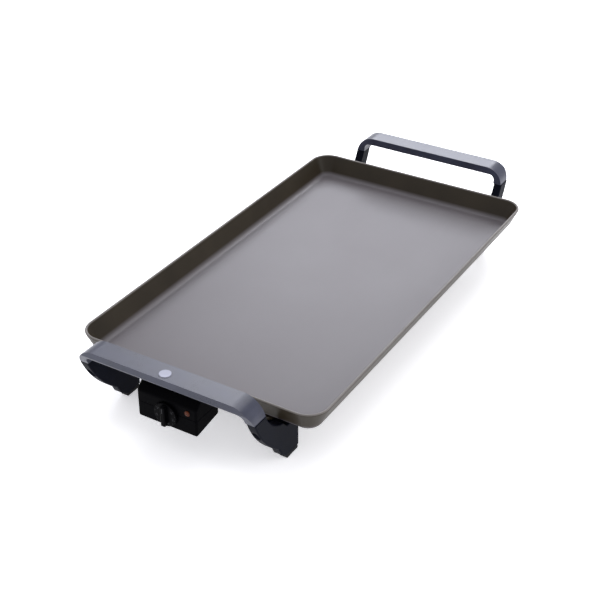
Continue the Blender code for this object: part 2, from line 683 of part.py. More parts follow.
def make_guard():
    """The sheet-metal guard round the pins: a box open at the front, with a screwed ear on each side."""
    guard = block("terminal_guard", (-GUARD_HALF_WIDTH, GUARD_FRONT, GUARD_BOTTOM),
                  (GUARD_HALF_WIDTH, GUARD_BACK, GUARD_TOP), "zinc_steel")
    inside = GUARD_HALF_WIDTH - GUARD_SHEET
    hollow = block("guard_hollow", (-inside, GUARD_FRONT - GUARD_SHEET, GUARD_BOTTOM + GUARD_SHEET),
                   (inside, GUARD_BACK - GUARD_SHEET, GUARD_TOP - GUARD_SHEET))
    combine(guard, hollow, "DIFFERENCE")
    for side in (-1, 1):
        across = sorted((side * (GUARD_HALF_WIDTH - GUARD_SHEET / 2), side * (GUARD_SCREW[0] + BOSS_RADIUS)))
        ear = block(f"guard_ear_{side + 1}", (across[0], GUARD_BACK - 3 * GUARD_SHEET, TAB_TOP - GUARD_SHEET),
                    (across[1], GUARD_SCREW[1] + BOSS_RADIUS, TAB_TOP))
        combine(guard, ear, "UNION")
    x, y = GUARD_SCREW
    screw_holes = [((side * x, y, BOSS_FACE - BOSS_HEIGHT), (side * x, y, BOSS_FACE)) for side in (-1, 1)]
    combine(guard, rods("guard_screw_holes", HOLE_RADIUS, screw_holes), "DIFFERENCE")
    through = [GUARD_BACK - 2 * GUARD_SHEET, GUARD_BACK + GUARD_SHEET]
    bead_holes = [[(side * TERMINAL_X, at, TERMINAL_HEIGHT) for at in through] for side in (-1, 1)]
    combine(guard, rods("guard_bead_holes", BEAD_RADIUS + FIT, bead_holes), "DIFFERENCE")
    probe_hole = [[(0.0, at, TERMINAL_HEIGHT) for at in through]]
    combine(guard, rods("guard_probe_hole", WELL_BORE, probe_hole), "DIFFERENCE")
    for side_name, side in (("left", -1), ("right", 1)):
        screw(f"{side_name}_guard_screw", side * x, y, TAB_TOP - GUARD_SHEET,
              GUARD_SHEET + SCREW_BITE)


# ---------------------------------------------------------------- heat control

def case_outline(inset):
    """(Y, Z) round the control's case, moved in by an inset."""
    front = CASE_FRONT + inset
    back = CASE_BACK - inset
    facet_run = CASE_TOP - CASE_FACET_START
    return [(front, CASE_FRONT_BOTTOM + inset), (back, CASE_BACK_BOTTOM + inset), (back, CASE_TOP - inset),
            (front + facet_run, CASE_TOP - inset), (front, CASE_FACET_START - inset)]


def case_solid(name, inset, finish=None):
    """The case's whole outer shape, or with an inset its hollow."""
    along_x = Matrix(((0, 0, 1, 0), (1, 0, 0, 0), (0, 1, 0, 0), (0, 0, 0, 1)))
    width = 2 * (CASE_HALF_WIDTH - inset)
    return plate_from_outline(name, case_outline(inset), width, finish, along_x)


def case_posts(part, low, high):
    """The two screw posts inside one half of the case."""
    x, y = CASE_SCREW
    return rods(f"case_{part}_posts", POST_RADIUS, [((side * x, y, low), (side * x, y, high))
                                                    for side in (-1, 1)])


def face_bore(x, z):
    """The ends of a drilling through the case's face."""
    return [((x, CASE_FRONT - CASE_WALL, z), (x, CASE_FRONT + 2 * CASE_WALL, z))]


def make_case_half(part):
    """One moulded half of the case: hollow, cut at the parting line, with posts and openings."""
    case = case_solid(f"control_case_{part}", 0.0, "black_case")
    bevel(case, CASE_EDGE)
    combine(case, case_solid(f"case_{part}_hollow", CASE_WALL), "DIFFERENCE")
    past = CASE_WALL
    wide_low = (-CASE_HALF_WIDTH - past, CASE_FRONT - past, CASE_FRONT_BOTTOM - past)
    wide_high = (CASE_HALF_WIDTH + past, CASE_BACK + past, CASE_TOP + past)
    if part == "upper":
        cut_box = (wide_low, (*wide_high[:2], CASE_SPLIT + FIT / 2))
        posts = case_posts(part, CASE_SPLIT + FIT / 2, CASE_TOP - CASE_WALL / 2)
    else:
        cut_box = ((*wide_low[:2], CASE_SPLIT - FIT / 2), wide_high)
        posts = case_posts(part, CASE_BACK_BOTTOM, CASE_SPLIT - FIT / 2)
    combine(case, block(f"case_{part}_cut", *cut_box), "DIFFERENCE")
    combine(case, posts, "UNION")
    shaft_hole = rods(f"case_{part}_shaft_hole", SHAFT_RADIUS + FIT, face_bore(0.0, DIAL_HEIGHT))
    combine(case, shaft_hole, "DIFFERENCE")
    return case


def make_case():
    """The upper and lower halves of the control's case, and the two screws that close them."""
    upper = make_case_half("upper")
    lower = make_case_half("lower")
    combine(upper, rods("case_lens_hole", LENS_RADIUS + FIT, face_bore(LENS_X, LENS_HEIGHT)), "DIFFERENCE")
    nose = block("case_nose", (-NOSE_HALF_WIDTH, NOSE_ROOT, NOSE_BOTTOM),
                 (NOSE_HALF_WIDTH, NOSE_TIP, NOSE_TOP))
    combine(lower, nose, "UNION")
    for label, radius, centre_x in (("left_sleeve", SLEEVE_RADIUS, -TERMINAL_X),
                                    ("right_sleeve", SLEEVE_RADIUS, TERMINAL_X),
                                    ("probe", PROBE_RADIUS, 0.0)):
        bore = [[(centre_x, y, TERMINAL_HEIGHT) for y in (NOSE_ROOT - CASE_WALL, NOSE_TIP + CASE_WALL)]]
        combine(lower, rods(f"nose_{label}_bore", radius + FIT, bore), "DIFFERENCE")
    gland_hole = [((-CASE_HALF_WIDTH - CASE_WALL, GLAND_Y, GLAND_HEIGHT),
                   (-CASE_HALF_WIDTH + 2 * CASE_WALL, GLAND_Y, GLAND_HEIGHT))]
    combine(lower, rods("case_gland_hole", GLAND_NECK + FIT, gland_hole), "DIFFERENCE")
    x, y = CASE_SCREW
    bore_top = CASE_SPLIT + CASE_SCREW_RISE + FIT
    bores = [((side * x, y, CASE_SCREW_SEAT), (side * x, y, bore_top)) for side in (-1, 1)]
    recesses = [((side * x, y, CASE_FRONT_BOTTOM - FIT), (side * x, y, CASE_SCREW_SEAT)) for side in (-1, 1)]
    for half, part in ((upper, "upper"), (lower, "lower")):
        combine(half, rods(f"case_{part}_screw_bores", HOLE_RADIUS, bores), "DIFFERENCE")
    combine(lower, rods("case_screw_recesses", CASE_HEAD_RADIUS + FIT, recesses), "DIFFERENCE")
    for side_name, side in (("left", -1), ("right", 1)):
        case_screw(f"{side_name}_case_screw", side * x, y, CASE_SCREW_SEAT - FIT)


def case_screw(name, x, y, head_top):
    """A slim screw that closes the case."""
    length = CASE_SPLIT + CASE_SCREW_RISE - head_top
    profile = [(0.0, length), (SCREW_RADIUS, length), (SCREW_RADIUS, 0.0), (CASE_HEAD_RADIUS, 0.0),
               (CASE_HEAD_RADIUS, -CASE_HEAD_HEIGHT), (0.0, -CASE_HEAD_HEIGHT)]
    turned(name, profile, "zinc_steel", Matrix.Translation((x, y, head_top)), HOLE_STEPS)


def make_dial():
    """The temperature dial, with a raised grip bar, and the shaft that it turns."""
    place = Matrix.Translation((0.0, CASE_FRONT - FIT, DIAL_HEIGHT)) @ FORWARD
    edge = DIAL_SKIRT / 3
    bore = SHAFT_RADIUS + FIT
    bore_depth = DIAL_SKIRT + DIAL_GRIP / 2
    profile = [(0.0, DIAL_SKIRT), (DIAL_RADIUS - edge, DIAL_SKIRT), (DIAL_RADIUS, DIAL_SKIRT - edge),
               (DIAL_RADIUS, 0.0), (0.0, 0.0)]
    dial = turned("temperature_dial", profile, "black_case", place, DIAL_STEPS)
    bar_bm = bmesh.new()
    bar_size = (DIAL_BAR_WIDTH, DIAL_BAR_LENGTH, DIAL_GRIP + DIAL_SKIRT / 2)
    bmesh.ops.create_cube(bar_bm, size=1.0, matrix=Matrix.Diagonal((*bar_size, 1.0)))
    raised = Matrix.Translation((0.0, 0.0, DIAL_SKIRT + DIAL_GRIP - bar_size[2] / 2))
    bar = add_piece("dial_grip_bar", mesh_from(bar_bm, "dial_grip_bar"), None, place @ raised)
    bevel(bar, DIAL_BAR_EDGE)
    combine(dial, bar, "UNION")
    bore_ends = [((0.0, CASE_FRONT, DIAL_HEIGHT), (0.0, CASE_FRONT - FIT - bore_depth, DIAL_HEIGHT))]
    combine(dial, rods("dial_bore", bore, bore_ends), "DIFFERENCE")
    shaft_top = bore_depth - FIT
    shaft_foot = CASE_FRONT - FIT - SHAFT_BACK
    shaft = [(0.0, shaft_top), (SHAFT_RADIUS, shaft_top), (SHAFT_RADIUS, shaft_foot), (0.0, shaft_foot)]
    turned("dial_shaft", shaft, "stainless", place, HOLE_STEPS)


def make_lamp():
    """The pilot lamp: a lens in the case's face and a neon bulb behind it."""
    place = Matrix.Translation((LENS_X, CASE_FRONT, LENS_HEIGHT)) @ FORWARD
    flange = LENS_RADIUS + LENS_FLANGE
    lens = [(0.0, LENS_DOME), (LENS_RADIUS * 0.7, LENS_DOME * 0.8), (flange, 2 * FIT), (flange, FIT),
            (LENS_RADIUS, FIT), (LENS_RADIUS, -CASE_WALL), (0.0, -CASE_WALL)]
    turned("pilot_lens", lens, "amber_lens", place)
    front, back = BULB_DEPTHS
    bulb = [(0.0, -front), (BULB_RADIUS * 0.7, -front - BULB_RADIUS / 5), (BULB_RADIUS, -front - BULB_RADIUS),
            (BULB_RADIUS, -back), (0.0, -back)]
    turned("pilot_bulb", bulb, "clear_glass", place, HOLE_STEPS)


def slab(name, x, y, z, finish=None):
    """A box from its (low, high) range along each axis."""
    return block(name, (x[0], y[0], z[0]), (x[1], y[1], z[1]), finish)


def make_works():
    """The thermostat: a steel frame, a stepped ceramic block, and the bimetal and contact blades."""
    across = (-FRAME_HALF_WIDTH, FRAME_HALF_WIDTH)
    floor_top = FRAME_FLOOR + FRAME_SHEET
    frame = slab("thermostat_frame", across, FRAME_Y, (FRAME_FLOOR, floor_top), "zinc_steel")
    upright = slab("frame_upright", across, (FRAME_Y[0], FRAME_Y[0] + FRAME_SHEET),
                   (FRAME_FLOOR + FRAME_SHEET / 2, FRAME_TOP))
    combine(frame, upright, "UNION")
    shaft_hole = [[(0.0, FRAME_Y[0] + end * FRAME_SHEET, DIAL_HEIGHT) for end in (-1, 2)]]
    combine(frame, rods("frame_shaft_hole", SHAFT_RADIUS + FIT, shaft_hole), "DIFFERENCE")
    block_foot = floor_top + FIT
    ceramic = slab("ceramic_block", BLOCK_SEAT_X, BLOCK_Y, (block_foot, BLOCK_SEAT), "ceramic")
    combine(ceramic, slab("ceramic_step", BLOCK_STEP_X, BLOCK_Y, (block_foot, BLOCK_STEP)), "UNION")
    bimetal_foot = BLOCK_SEAT + FIT
    slab("bimetal_blade", BIMETAL_X, BLADE_Y, (bimetal_foot, bimetal_foot + BIMETAL_SHEET), "brass")
    contact_foot = BLOCK_STEP + FIT
    slab("contact_blade", CONTACT_X, BLADE_Y, (contact_foot, contact_foot + CONTACT_SHEET), "stainless")


def make_probe_and_sleeves():
    """The temperature probe, and the two brass sleeves that slide over the terminal pins."""
    length = NOSE_ROOT - PROBE_TIP
    tip = PROBE_RADIUS / 2
    probe = [(0.0, 0.0), (PROBE_RADIUS, 0.0), (PROBE_RADIUS, length + tip), (tip, length), (0.0, length)]
    turned("probe_rod", probe, "stainless", at_terminal(0.0, NOSE_ROOT), HOLE_STEPS)
    mouth = NOSE_ROOT - NOSE_TIP - SLEEVE_PROUD
    sleeve = [(0.0, 0.0), (SLEEVE_RADIUS, 0.0), (SLEEVE_RADIUS, mouth), (SLEEVE_BORE, mouth),
              (SLEEVE_BORE, -SLEEVE_FLOOR), (0.0, -SLEEVE_FLOOR)]
    for side_name, side in (("left", -1), ("right", 1)):
        turned(f"{side_name}_contact_sleeve", sleeve, "brass", at_terminal(side * TERMINAL_X, NOSE_ROOT))


def make_gland():
    """The gland on the control's left side, where its cord would enter."""
    place = Matrix.Translation((-CASE_HALF_WIDTH, GLAND_Y, GLAND_HEIGHT)) @ LEFT
    shoulder = GLAND_LENGTH - GLAND_CHAMFER
    profile = [(GLAND_BORE, GLAND_LENGTH), (GLAND_RADIUS - GLAND_CHAMFER, GLAND_LENGTH),
               (GLAND_RADIUS, shoulder), (GLAND_RADIUS, FIT), (GLAND_NECK, FIT),
               (GLAND_NECK, -CASE_WALL), (GLAND_BORE, -CASE_WALL), (GLAND_BORE, GLAND_LENGTH)]
    turned("cord_gland", profile, "black_rubber", place)


make_tray()
make_ends()
make_badge()
make_element()
make_straps()
make_terminals()
make_guard()
make_case()
make_dial()
make_lamp()
make_works()
make_probe_and_sleeves()
make_gland()
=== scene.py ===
# %% [markdown]
# # An electric griddle
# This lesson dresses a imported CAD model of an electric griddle: a shallow cast tray on two black end
# brackets, with a plug-in heat control. The CAD model is the fixed frame. Every visible piece is modelled
# again here with fine edges, in place on that frame, and each surface gets a finish made of nodes.
#
# Everything is in metres. X runs across the tray, Y along it, and the heat control is at the -Y end.

# %% Load the frame
import json
from math import asin, atan2, cos, pi, radians, sin, tau

import bmesh
import bpy
from mathutils import Matrix, Vector


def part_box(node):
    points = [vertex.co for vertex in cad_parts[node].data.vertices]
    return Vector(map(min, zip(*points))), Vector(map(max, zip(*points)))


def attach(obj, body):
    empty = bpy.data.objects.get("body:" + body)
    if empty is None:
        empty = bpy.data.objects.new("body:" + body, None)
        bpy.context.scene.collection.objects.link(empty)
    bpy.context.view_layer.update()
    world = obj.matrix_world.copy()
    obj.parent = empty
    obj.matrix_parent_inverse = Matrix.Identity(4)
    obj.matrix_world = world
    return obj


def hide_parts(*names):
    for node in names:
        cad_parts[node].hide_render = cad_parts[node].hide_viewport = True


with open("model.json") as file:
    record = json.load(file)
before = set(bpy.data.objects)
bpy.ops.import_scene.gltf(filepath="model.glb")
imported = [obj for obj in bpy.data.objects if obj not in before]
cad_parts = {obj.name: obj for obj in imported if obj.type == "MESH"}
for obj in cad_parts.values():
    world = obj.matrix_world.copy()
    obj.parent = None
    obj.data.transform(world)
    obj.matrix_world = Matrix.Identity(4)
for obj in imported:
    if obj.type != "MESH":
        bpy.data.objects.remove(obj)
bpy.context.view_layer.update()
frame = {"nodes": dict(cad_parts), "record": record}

record = frame["record"]
body_of = {node: body for body, nodes in record["behaviour"]["bodies"].items() for node in nodes}

# %% [markdown]
# ## The camera
# The griddle is seen from above its right front corner with a long lens, so its long sides stay nearly
# parallel. A camera could be aimed with a Track To constraint, but plain angles are easier to read: a tilt
# below the horizon, and a turn to the left of the +Y direction. The place is given from the tray's front
# edge and from the top of its rim, so the camera follows the frame if the tray's size changes.

# %% Place the camera
CAMERA_LENS = 71.95
SENSOR_WIDTH = 36.0
CAMERA_TILT = radians(32.24)
CAMERA_TURN = radians(31.03)
CAMERA_RIGHT = 0.6151
CAMERA_BACK = 0.8021        # in front of the tray's front edge
CAMERA_ABOVE = 0.7239       # above the rim



def add_object(name, data):
    """A new object in the scene."""
    thing = bpy.data.objects.new(name, data)
    bpy.context.scene.collection.objects.link(thing)
    return thing


tray_low, tray_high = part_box("cooking_tray")
camera_data = bpy.data.cameras.new("griddle_camera")
camera_data.lens = CAMERA_LENS
camera_data.sensor_width = SENSOR_WIDTH
camera = add_object("griddle_camera", camera_data)
camera.location = (CAMERA_RIGHT, tray_low.y - CAMERA_BACK, tray_high.z + CAMERA_ABOVE)
camera.rotation_euler = (pi / 2 - CAMERA_TILT, 0.0, CAMERA_TURN)
bpy.context.scene.camera = camera
print("camera at (mm):", [round(1000 * v) for v in camera.location])

# %% [markdown]
# ## The table and the light
# A product like this is shown on a white table under big soft lamps. The table could be a curved backdrop,
# but a wide plain floor and an even pale sky give the same clean look with no corner to hide. The floor is a
# light table: it glows a little by itself, which keeps the shadows thin. Four soft boxes do the shaping: a
# broad one overhead, a cool one low behind the far end that draws the pale sheen on the far grip and the
# tray, a weaker one above it for the near grip, and a weak one from the right for the shadow side.

# %% Floor, sky and lamps
FLOOR_SIZE = 30.0
FLOOR_DROP = 0.0002         # keeps the floor just clear of the soles
TABLE_GLOW = 0.45
SKY = (0.97, 0.97, 1.0)
SKY_STRENGTH = 0.94
# name, place, width, height, colour, power in watts
LAMPS = (
    ("overhead_box", (-0.20, 1.20, 1.9), 1.8, 1.8, (1.0, 1.0, 1.0), 24.0),
    ("back_box", (-0.85, 1.95, 1.30), 1.6, 0.8, (0.90, 0.92, 1.0), 34.0),
    ("upper_back_box", (-1.23, 1.30, 1.60), 1.4, 1.0, (0.88, 0.90, 1.0), 6.0),
    ("right_box", (1.9, 0.4, 1.0), 1.0, 1.0, (1.0, 0.99, 0.97), 8.0),
)


def aim(thing, target):
    """Turn a lamp so that it shines from where it is onto a target."""
    thing.rotation_euler = (Vector(target) - thing.location).to_track_quat("-Z", "Y").to_euler()


bpy.context.scene.view_settings.view_transform = "Standard"
world = bpy.data.worlds.new("studio_sky")
bpy.context.scene.world = world
world.use_nodes = True
world.node_tree.nodes["Background"].inputs["Color"].default_value = (*SKY, 1.0)
world.node_tree.nodes["Background"].inputs["Strength"].default_value = SKY_STRENGTH
for name, place, width, height, colour, power in LAMPS:
    lamp_data = bpy.data.lights.new(name, "AREA")
    lamp_data.shape = "RECTANGLE"
    lamp_data.size = width
    lamp_data.size_y = height
    lamp_data.color = colour
    lamp_data.energy = power
    lamp = add_object(name, lamp_data)
    lamp.location = place
    aim(lamp, (0.0, 0.0, tray_high.z / 2))
print("lamps:", len(LAMPS))

# %% [markdown]
# ## Node helpers
# A finish is easiest to read when each step of it is one call. These helpers wrap the few shader nodes that
# every finish here uses: noise at a real size, a ramp between two colours, a range for roughness, and bumps
# with a real depth. All of them read Object coordinates. Every piece sits at the origin with its place in
# its mesh, so those coordinates are metres on the griddle, and a grain of 1 mm stays 1 mm everywhere.

# %% Start a finish
def new_finish(name, metallic=0.0, specular=0.5):
    """A material, its node tree and its Principled shader."""
    material = bpy.data.materials.new(name)
    material.use_nodes = True
    tree = material.node_tree
    shader = tree.nodes["Principled BSDF"]
    shader.inputs["Metallic"].default_value = metallic
    shader.inputs["Specular IOR Level"].default_value = specular
    return material, tree, shader


def grain(tree, size, detail=3.0, stretch=(1.0, 1.0, 1.0), rough=0.5):
    """Noise with lumps about size metres across, drawn out along an axis by a stretch under 1."""
    place = tree.nodes.new("ShaderNodeTexCoord")
    scaled = tree.nodes.new("ShaderNodeMapping")
    scaled.inputs["Scale"].default_value = stretch
    noise = tree.nodes.new("ShaderNodeTexNoise")
    noise.inputs["Scale"].default_value = 1.0 / size
    noise.inputs["Detail"].default_value = detail
    noise.inputs["Roughness"].default_value = rough
    tree.links.new(place.outputs["Object"], scaled.inputs["Vector"])
    tree.links.new(scaled.outputs["Vector"], noise.inputs["Vector"])
    return noise.outputs["Fac"]


def spread(tree, value, low, high, to_low, to_high):
    """Carry a value from one range to another, held at both ends."""
    mapped = tree.nodes.new("ShaderNodeMapRange")
    for socket, number in zip(("From Min", "From Max", "To Min", "To Max"), (low, high, to_low, to_high)):
        mapped.inputs[socket].default_value = number
    tree.links.new(value, mapped.inputs["Value"])
    return mapped.outputs["Result"]


def ramp(tree, value, low, dark, high, light):
    """A colour that runs from dark at one value to light at another."""
    colours = tree.nodes.new("ShaderNodeValToRGB")
    colours.color_ramp.elements[0].position = low
    colours.color_ramp.elements[0].color = (*dark, 1.0)
    colours.color_ramp.elements[1].position = high
    colours.color_ramp.elements[1].color = (*light, 1.0)
    tree.links.new(value, colours.inputs["Fac"])
    return colours.outputs["Color"]


# %% Mix, measure and raise
MIX_FACTOR, MIX_FIRST, MIX_SECOND, MIX_RESULT = 0, 6, 7, 2      # a Mix node's sockets when it mixes colours


def mix(tree, factor, first, second):
    """Two colours mixed by a factor."""
    mixed = tree.nodes.new("ShaderNodeMix")
    mixed.data_type = "RGBA"
    tree.links.new(factor, mixed.inputs[MIX_FACTOR])
    tree.links.new(first, mixed.inputs[MIX_FIRST])
    tree.links.new(second, mixed.inputs[MIX_SECOND])
    return mixed.outputs[MIX_RESULT]


def combine(tree, operation, first, second):
    """Two values joined by a sum, a product or the like. The second may be a plain number."""
    joined = tree.nodes.new("ShaderNodeMath")
    joined.operation = operation
    tree.links.new(first, joined.inputs[0])
    if isinstance(second, float):
        joined.inputs[1].default_value = second
    else:
        tree.links.new(second, joined.inputs[1])
    return joined.outputs[0]


def place_on(tree, axis):
    """How far along X, Y or Z a point of the griddle is, in metres."""
    place = tree.nodes.new("ShaderNodeTexCoord")
    split = tree.nodes.new("ShaderNodeSeparateXYZ")
    tree.links.new(place.outputs["Object"], split.inputs[0])
    return split.outputs[axis]


def raise_bumps(tree, shader, height, depth):
    """Bumps of a real depth, in metres, on the whole surface."""
    bump = tree.nodes.new("ShaderNodeBump")
    bump.inputs["Strength"].default_value = 1.0
    bump.inputs["Distance"].default_value = depth
    tree.links.new(height, bump.inputs["Height"])
    tree.links.new(bump.outputs["Normal"], shader.inputs["Normal"])


print("node helpers ready")

# %% [markdown]
# ## The tray's coating
# The cast tray is sprayed with a non-stick coating. Its cooking floor is a satin grey with a faint lilac
# cast, and its wall and underside are a dark bronze brown. Two materials could be given to two sets of
# faces, but the real change is a soft one in the fillet, so one material blends the two colours by height.
# Fine orange peel and a slow mottle keep the large plain areas from looking like paint on glass. A paler
# band along the top of the lip is partly wear and partly a painted highlight where the rounded lip catches
# light.

# %% Tray coating
FLOOR_GREY = ((0.080, 0.0722, 0.079), (0.086, 0.0778, 0.085))
WALL_BROWN = ((0.0215, 0.0160, 0.0095), (0.0290, 0.0220, 0.0132))
# the lip's paler colour: partly real wear, partly a painted highlight where the rounded lip catches the
# light
WORN_AND_HIGHLIT_LIP = ((0.135, 0.124, 0.118), (0.175, 0.162, 0.155))
TURNS_BROWN = (0.0012, 0.0050)      # heights above the cooking floor between which grey turns to brown
UNDER_FLOOR = (0.0020, 0.0010)      # depths below it between which brown starts again
LIP_WEAR_AND_HIGHLIGHT = (0.0015, 0.0007)         # depths below the rim's top between which the wear and the painted highlight fade in
WEAR_AND_HIGHLIGHT_SHARE = 0.85
RAGGED = 0.0001                     # how unevenly those edges run
MOTTLE, PEEL, STREAKS = 0.060, 0.0011, 0.0035
STREAK_STRETCH = (1.0, 0.12, 1.0)
PEEL_DEPTH = 0.000022
SATIN = (0.395, 0.415)
SATIN_DRIFT = 0.015
WALL_ROUGHER = 0.03
cooking_floor = next(m["pos_m"][2] for m in record["mounts"] if m["name"] == "cooking_floor")


def make_tray_coating():
    """Satin grey on the floor, bronze brown on the wall and below."""
    material, tree, shader = new_finish("tray_coating", specular=0.21)
    height = place_on(tree, "Z")
    mottle = grain(tree, MOTTLE, 4.0)
    peel = grain(tree, PEEL, 3.0)
    streaks = grain(tree, STREAKS, 3.0, STREAK_STRETCH)
    grey = ramp(tree, mottle, 0.30, FLOOR_GREY[0], 0.70, FLOOR_GREY[1])
    brown = ramp(tree, mottle, 0.35, WALL_BROWN[0], 0.65, WALL_BROWN[1])
    # the lip's colour, with wear and a painted highlight in it
    worn_and_highlit = ramp(tree, mottle, 0.30, WORN_AND_HIGHLIT_LIP[0], 0.70, WORN_AND_HIGHLIT_LIP[1])
    ragged = combine(tree, "ADD", height, spread(tree, peel, 0.3, 0.7, -RAGGED, RAGGED))
    on_wall = spread(tree, ragged, *(cooking_floor + up for up in TURNS_BROWN), 0.0, 1.0)
    below = spread(tree, height, *(cooking_floor - down for down in UNDER_FLOOR), 1.0, 0.0)
    off_floor = combine(tree, "MAXIMUM", on_wall, below)
    # where the lip's band of wear and painted highlight takes over
    on_lip = spread(tree, ragged, *(tray_high.z - down for down in LIP_WEAR_AND_HIGHLIGHT), 0.0, WEAR_AND_HIGHLIGHT_SHARE)
    coated = mix(tree, off_floor, grey, brown)
    tree.links.new(mix(tree, on_lip, coated, worn_and_highlit), shader.inputs["Base Color"])
    satin = combine(tree, "ADD", spread(tree, streaks, 0.3, 0.7, *SATIN),
                    spread(tree, mottle, 0.3, 0.7, -SATIN_DRIFT, SATIN_DRIFT))
    tree.links.new(combine(tree, "ADD", satin, combine(tree, "MULTIPLY", off_floor, WALL_ROUGHER)),
                   shader.inputs["Roughness"])
    raise_bumps(tree, shader, peel, PEEL_DEPTH)
    return material


TRAY_COATING = make_tray_coating()
print("coating changes colour above (mm):", round(1000 * cooking_floor, 1))

# %% [markdown]
# ## Moulded plastics
# The brackets are a heat-proof phenolic with a blue-black cast. The grips are the smoothest, because hands
# polish them, and the legs keep more of the mould's fine texture. The grips and the legs are lit and shaded
# copies of that one phenolic: the grips' tone is several times lighter, as painted light on their lit tops
# and fronts, and the legs' tone is darker, as painted shade where they stand under the tray. The control's
# case is a dull black plastic. All of them are one recipe with different numbers, so one function makes
# them: a slow change of tone, a fine spark-eroded grain in bump and roughness, and nothing else.

# %% Moulded finishes
def make_moulded(name, tone, roughness, specular, texture, depth):
    """A moulded plastic: a tone, a mean roughness, and a texture of a size and depth in metres."""
    material, tree, shader = new_finish(name, specular=specular)
    slow = grain(tree, 0.025, 3.0)
    fine = grain(tree, texture, 2.0)
    darker = tuple(0.82 * c for c in tone)
    lighter = tuple(1.20 * c for c in tone)
    tree.links.new(ramp(tree, slow, 0.30, darker, 0.70, lighter), shader.inputs["Base Color"])
    varied = combine(tree, "ADD", spread(tree, fine, 0.3, 0.7, roughness - 0.04, roughness + 0.04),
                     spread(tree, slow, 0.3, 0.7, -0.03, 0.03))
    tree.links.new(varied, shader.inputs["Roughness"])
    raise_bumps(tree, shader, fine, depth)
    return material


# the grips' tone is a lit copy of the bracket phenolic: several times lighter, with painted light in it
GRIP_PHENOLIC_PAINTED_LIGHT = make_moulded("grip_phenolic", (0.029, 0.032, 0.053), 0.32, 0.34, 0.0009, 0.000006)
# the legs' tone is a shaded copy of the same phenolic, with painted shade where they stand under the tray
LEG_PHENOLIC_PAINTED_SHADE = make_moulded("leg_phenolic", (0.0030, 0.0038, 0.0080), 0.46, 0.032, 0.0007, 0.000012)
CASE_BLACK = make_moulded("case_black", (0.0009, 0.0009, 0.0014), 0.50, 0.018, 0.0006, 0.000014)
DIAL_BLACK = make_moulded("dial_black", (0.0012, 0.0012, 0.0017), 0.40, 0.030, 0.0008, 0.000006)
DIAL_MARKS = make_moulded("dial_marks", (0.050, 0.052, 0.056), 0.60, 0.10, 0.0005, 0.000004)
RUBBER = make_moulded("black_rubber", (0.014, 0.014, 0.015), 0.78, 0.20, 0.0005, 0.000020)
CERAMIC = make_moulded("white_ceramic", (0.66, 0.62, 0.55), 0.55, 0.40, 0.0006, 0.000012)
BADGE_SILVER = make_moulded("satin_badge", (0.34, 0.35, 0.43), 0.50, 0.15, 0.0003, 0.000003)
print("moulded finishes: 8")

# %% [markdown]
# ## Metals
# Zinc plating is cloudy and slightly blue, drawn stainless has fine lines along its length, and the
# element's sheath has gone dark with heat. A bare metallic shader would mirror the studio too cleanly, so
# each metal gets lines or clouds in its roughness, a colour that drifts, and a very shallow bump.

# %% Metal finishes
def make_metal(name, dark, light, roughness, lines, size, depth):
    """A metal whose grain has a size, and is drawn out by the stretch in lines."""
    material, tree, shader = new_finish(name, metallic=1.0)
    clouds = grain(tree, 6 * size, 3.0)
    drawn = grain(tree, size, 3.0, lines)
    tree.links.new(ramp(tree, clouds, 0.30, dark, 0.70, light), shader.inputs["Base Color"])
    tree.links.new(spread(tree, drawn, 0.25, 0.75, roughness - 0.08, roughness + 0.10),
                   shader.inputs["Roughness"])
    raise_bumps(tree, shader, drawn, depth)
    return material


ALONG_Y = (1.0, 0.05, 1.0)
EVEN = (1.0, 1.0, 1.0)
ZINC_SCREWS = make_metal("zinc_screws", (0.50, 0.52, 0.56), (0.66, 0.67, 0.68), 0.32, EVEN, 0.0008, 0.000006)
ZINC_SHEET = make_metal("zinc_sheet", (0.46, 0.48, 0.51), (0.62, 0.63, 0.64), 0.36, ALONG_Y, 0.0006,
                        0.000005)
SHEATH = make_metal("element_sheath", (0.070, 0.064, 0.058), (0.190, 0.178, 0.165), 0.52, EVEN, 0.0012,
                    0.000015)
STAINLESS = make_metal("stainless_steel", (0.56, 0.56, 0.57), (0.68, 0.68, 0.68), 0.24, ALONG_Y, 0.0004,
                       0.000003)
BRASS = make_metal("brass_parts", (0.62, 0.42, 0.16), (0.78, 0.58, 0.26), 0.30, ALONG_Y, 0.0005, 0.000004)
print("metal finishes: 5")

# %% [markdown]
# ## The lamp's lens and bulb
# The pilot lamp is off, so its amber lens looks deep and dark. Clear plastic could be pure transmission, but
# a moulded lens is slightly cloudy, so the shader mixes transmission with a dark amber base, and a weak
# swirl drifts through the colour.

# %% Clear finishes
def make_clear(name, dark, light, roughness, transmission, specular):
    """A clear or tinted glassy material with a slow swirl in its colour."""
    material, tree, shader = new_finish(name, specular=specular)
    shader.inputs["Transmission Weight"].default_value = transmission
    swirl = grain(tree, 0.0015, 2.0)
    tree.links.new(ramp(tree, swirl, 0.30, dark, 0.70, light), shader.inputs["Base Color"])
    tree.links.new(spread(tree, swirl, 0.3, 0.7, roughness, roughness + 0.05), shader.inputs["Roughness"])
    raise_bumps(tree, shader, swirl, 0.000005)
    return material


AMBER = make_clear("amber_lens", (0.060, 0.0110, 0.0025), (0.095, 0.0200, 0.0040), 0.16, 0.15, 0.10)
GLASS = make_clear("clear_glass", (0.80, 0.79, 0.76), (0.90, 0.89, 0.86), 0.04, 0.90, 0.50)
print("clear finishes: 2")

# %% [markdown]
# ## Modelling helpers
# A finished piece has closed, outward faces, smooth shading that breaks at real corners, and a body that it
# rides on. The frame's record already says which body each CAD node rides on, so the helper looks it up
# from the node that the piece stands for.

# %% Finish a piece
WELD = 0.00001              # points this close are one point
SHARP = radians(38)
FIT = 0.0003                # the gap between touching pieces in the frame


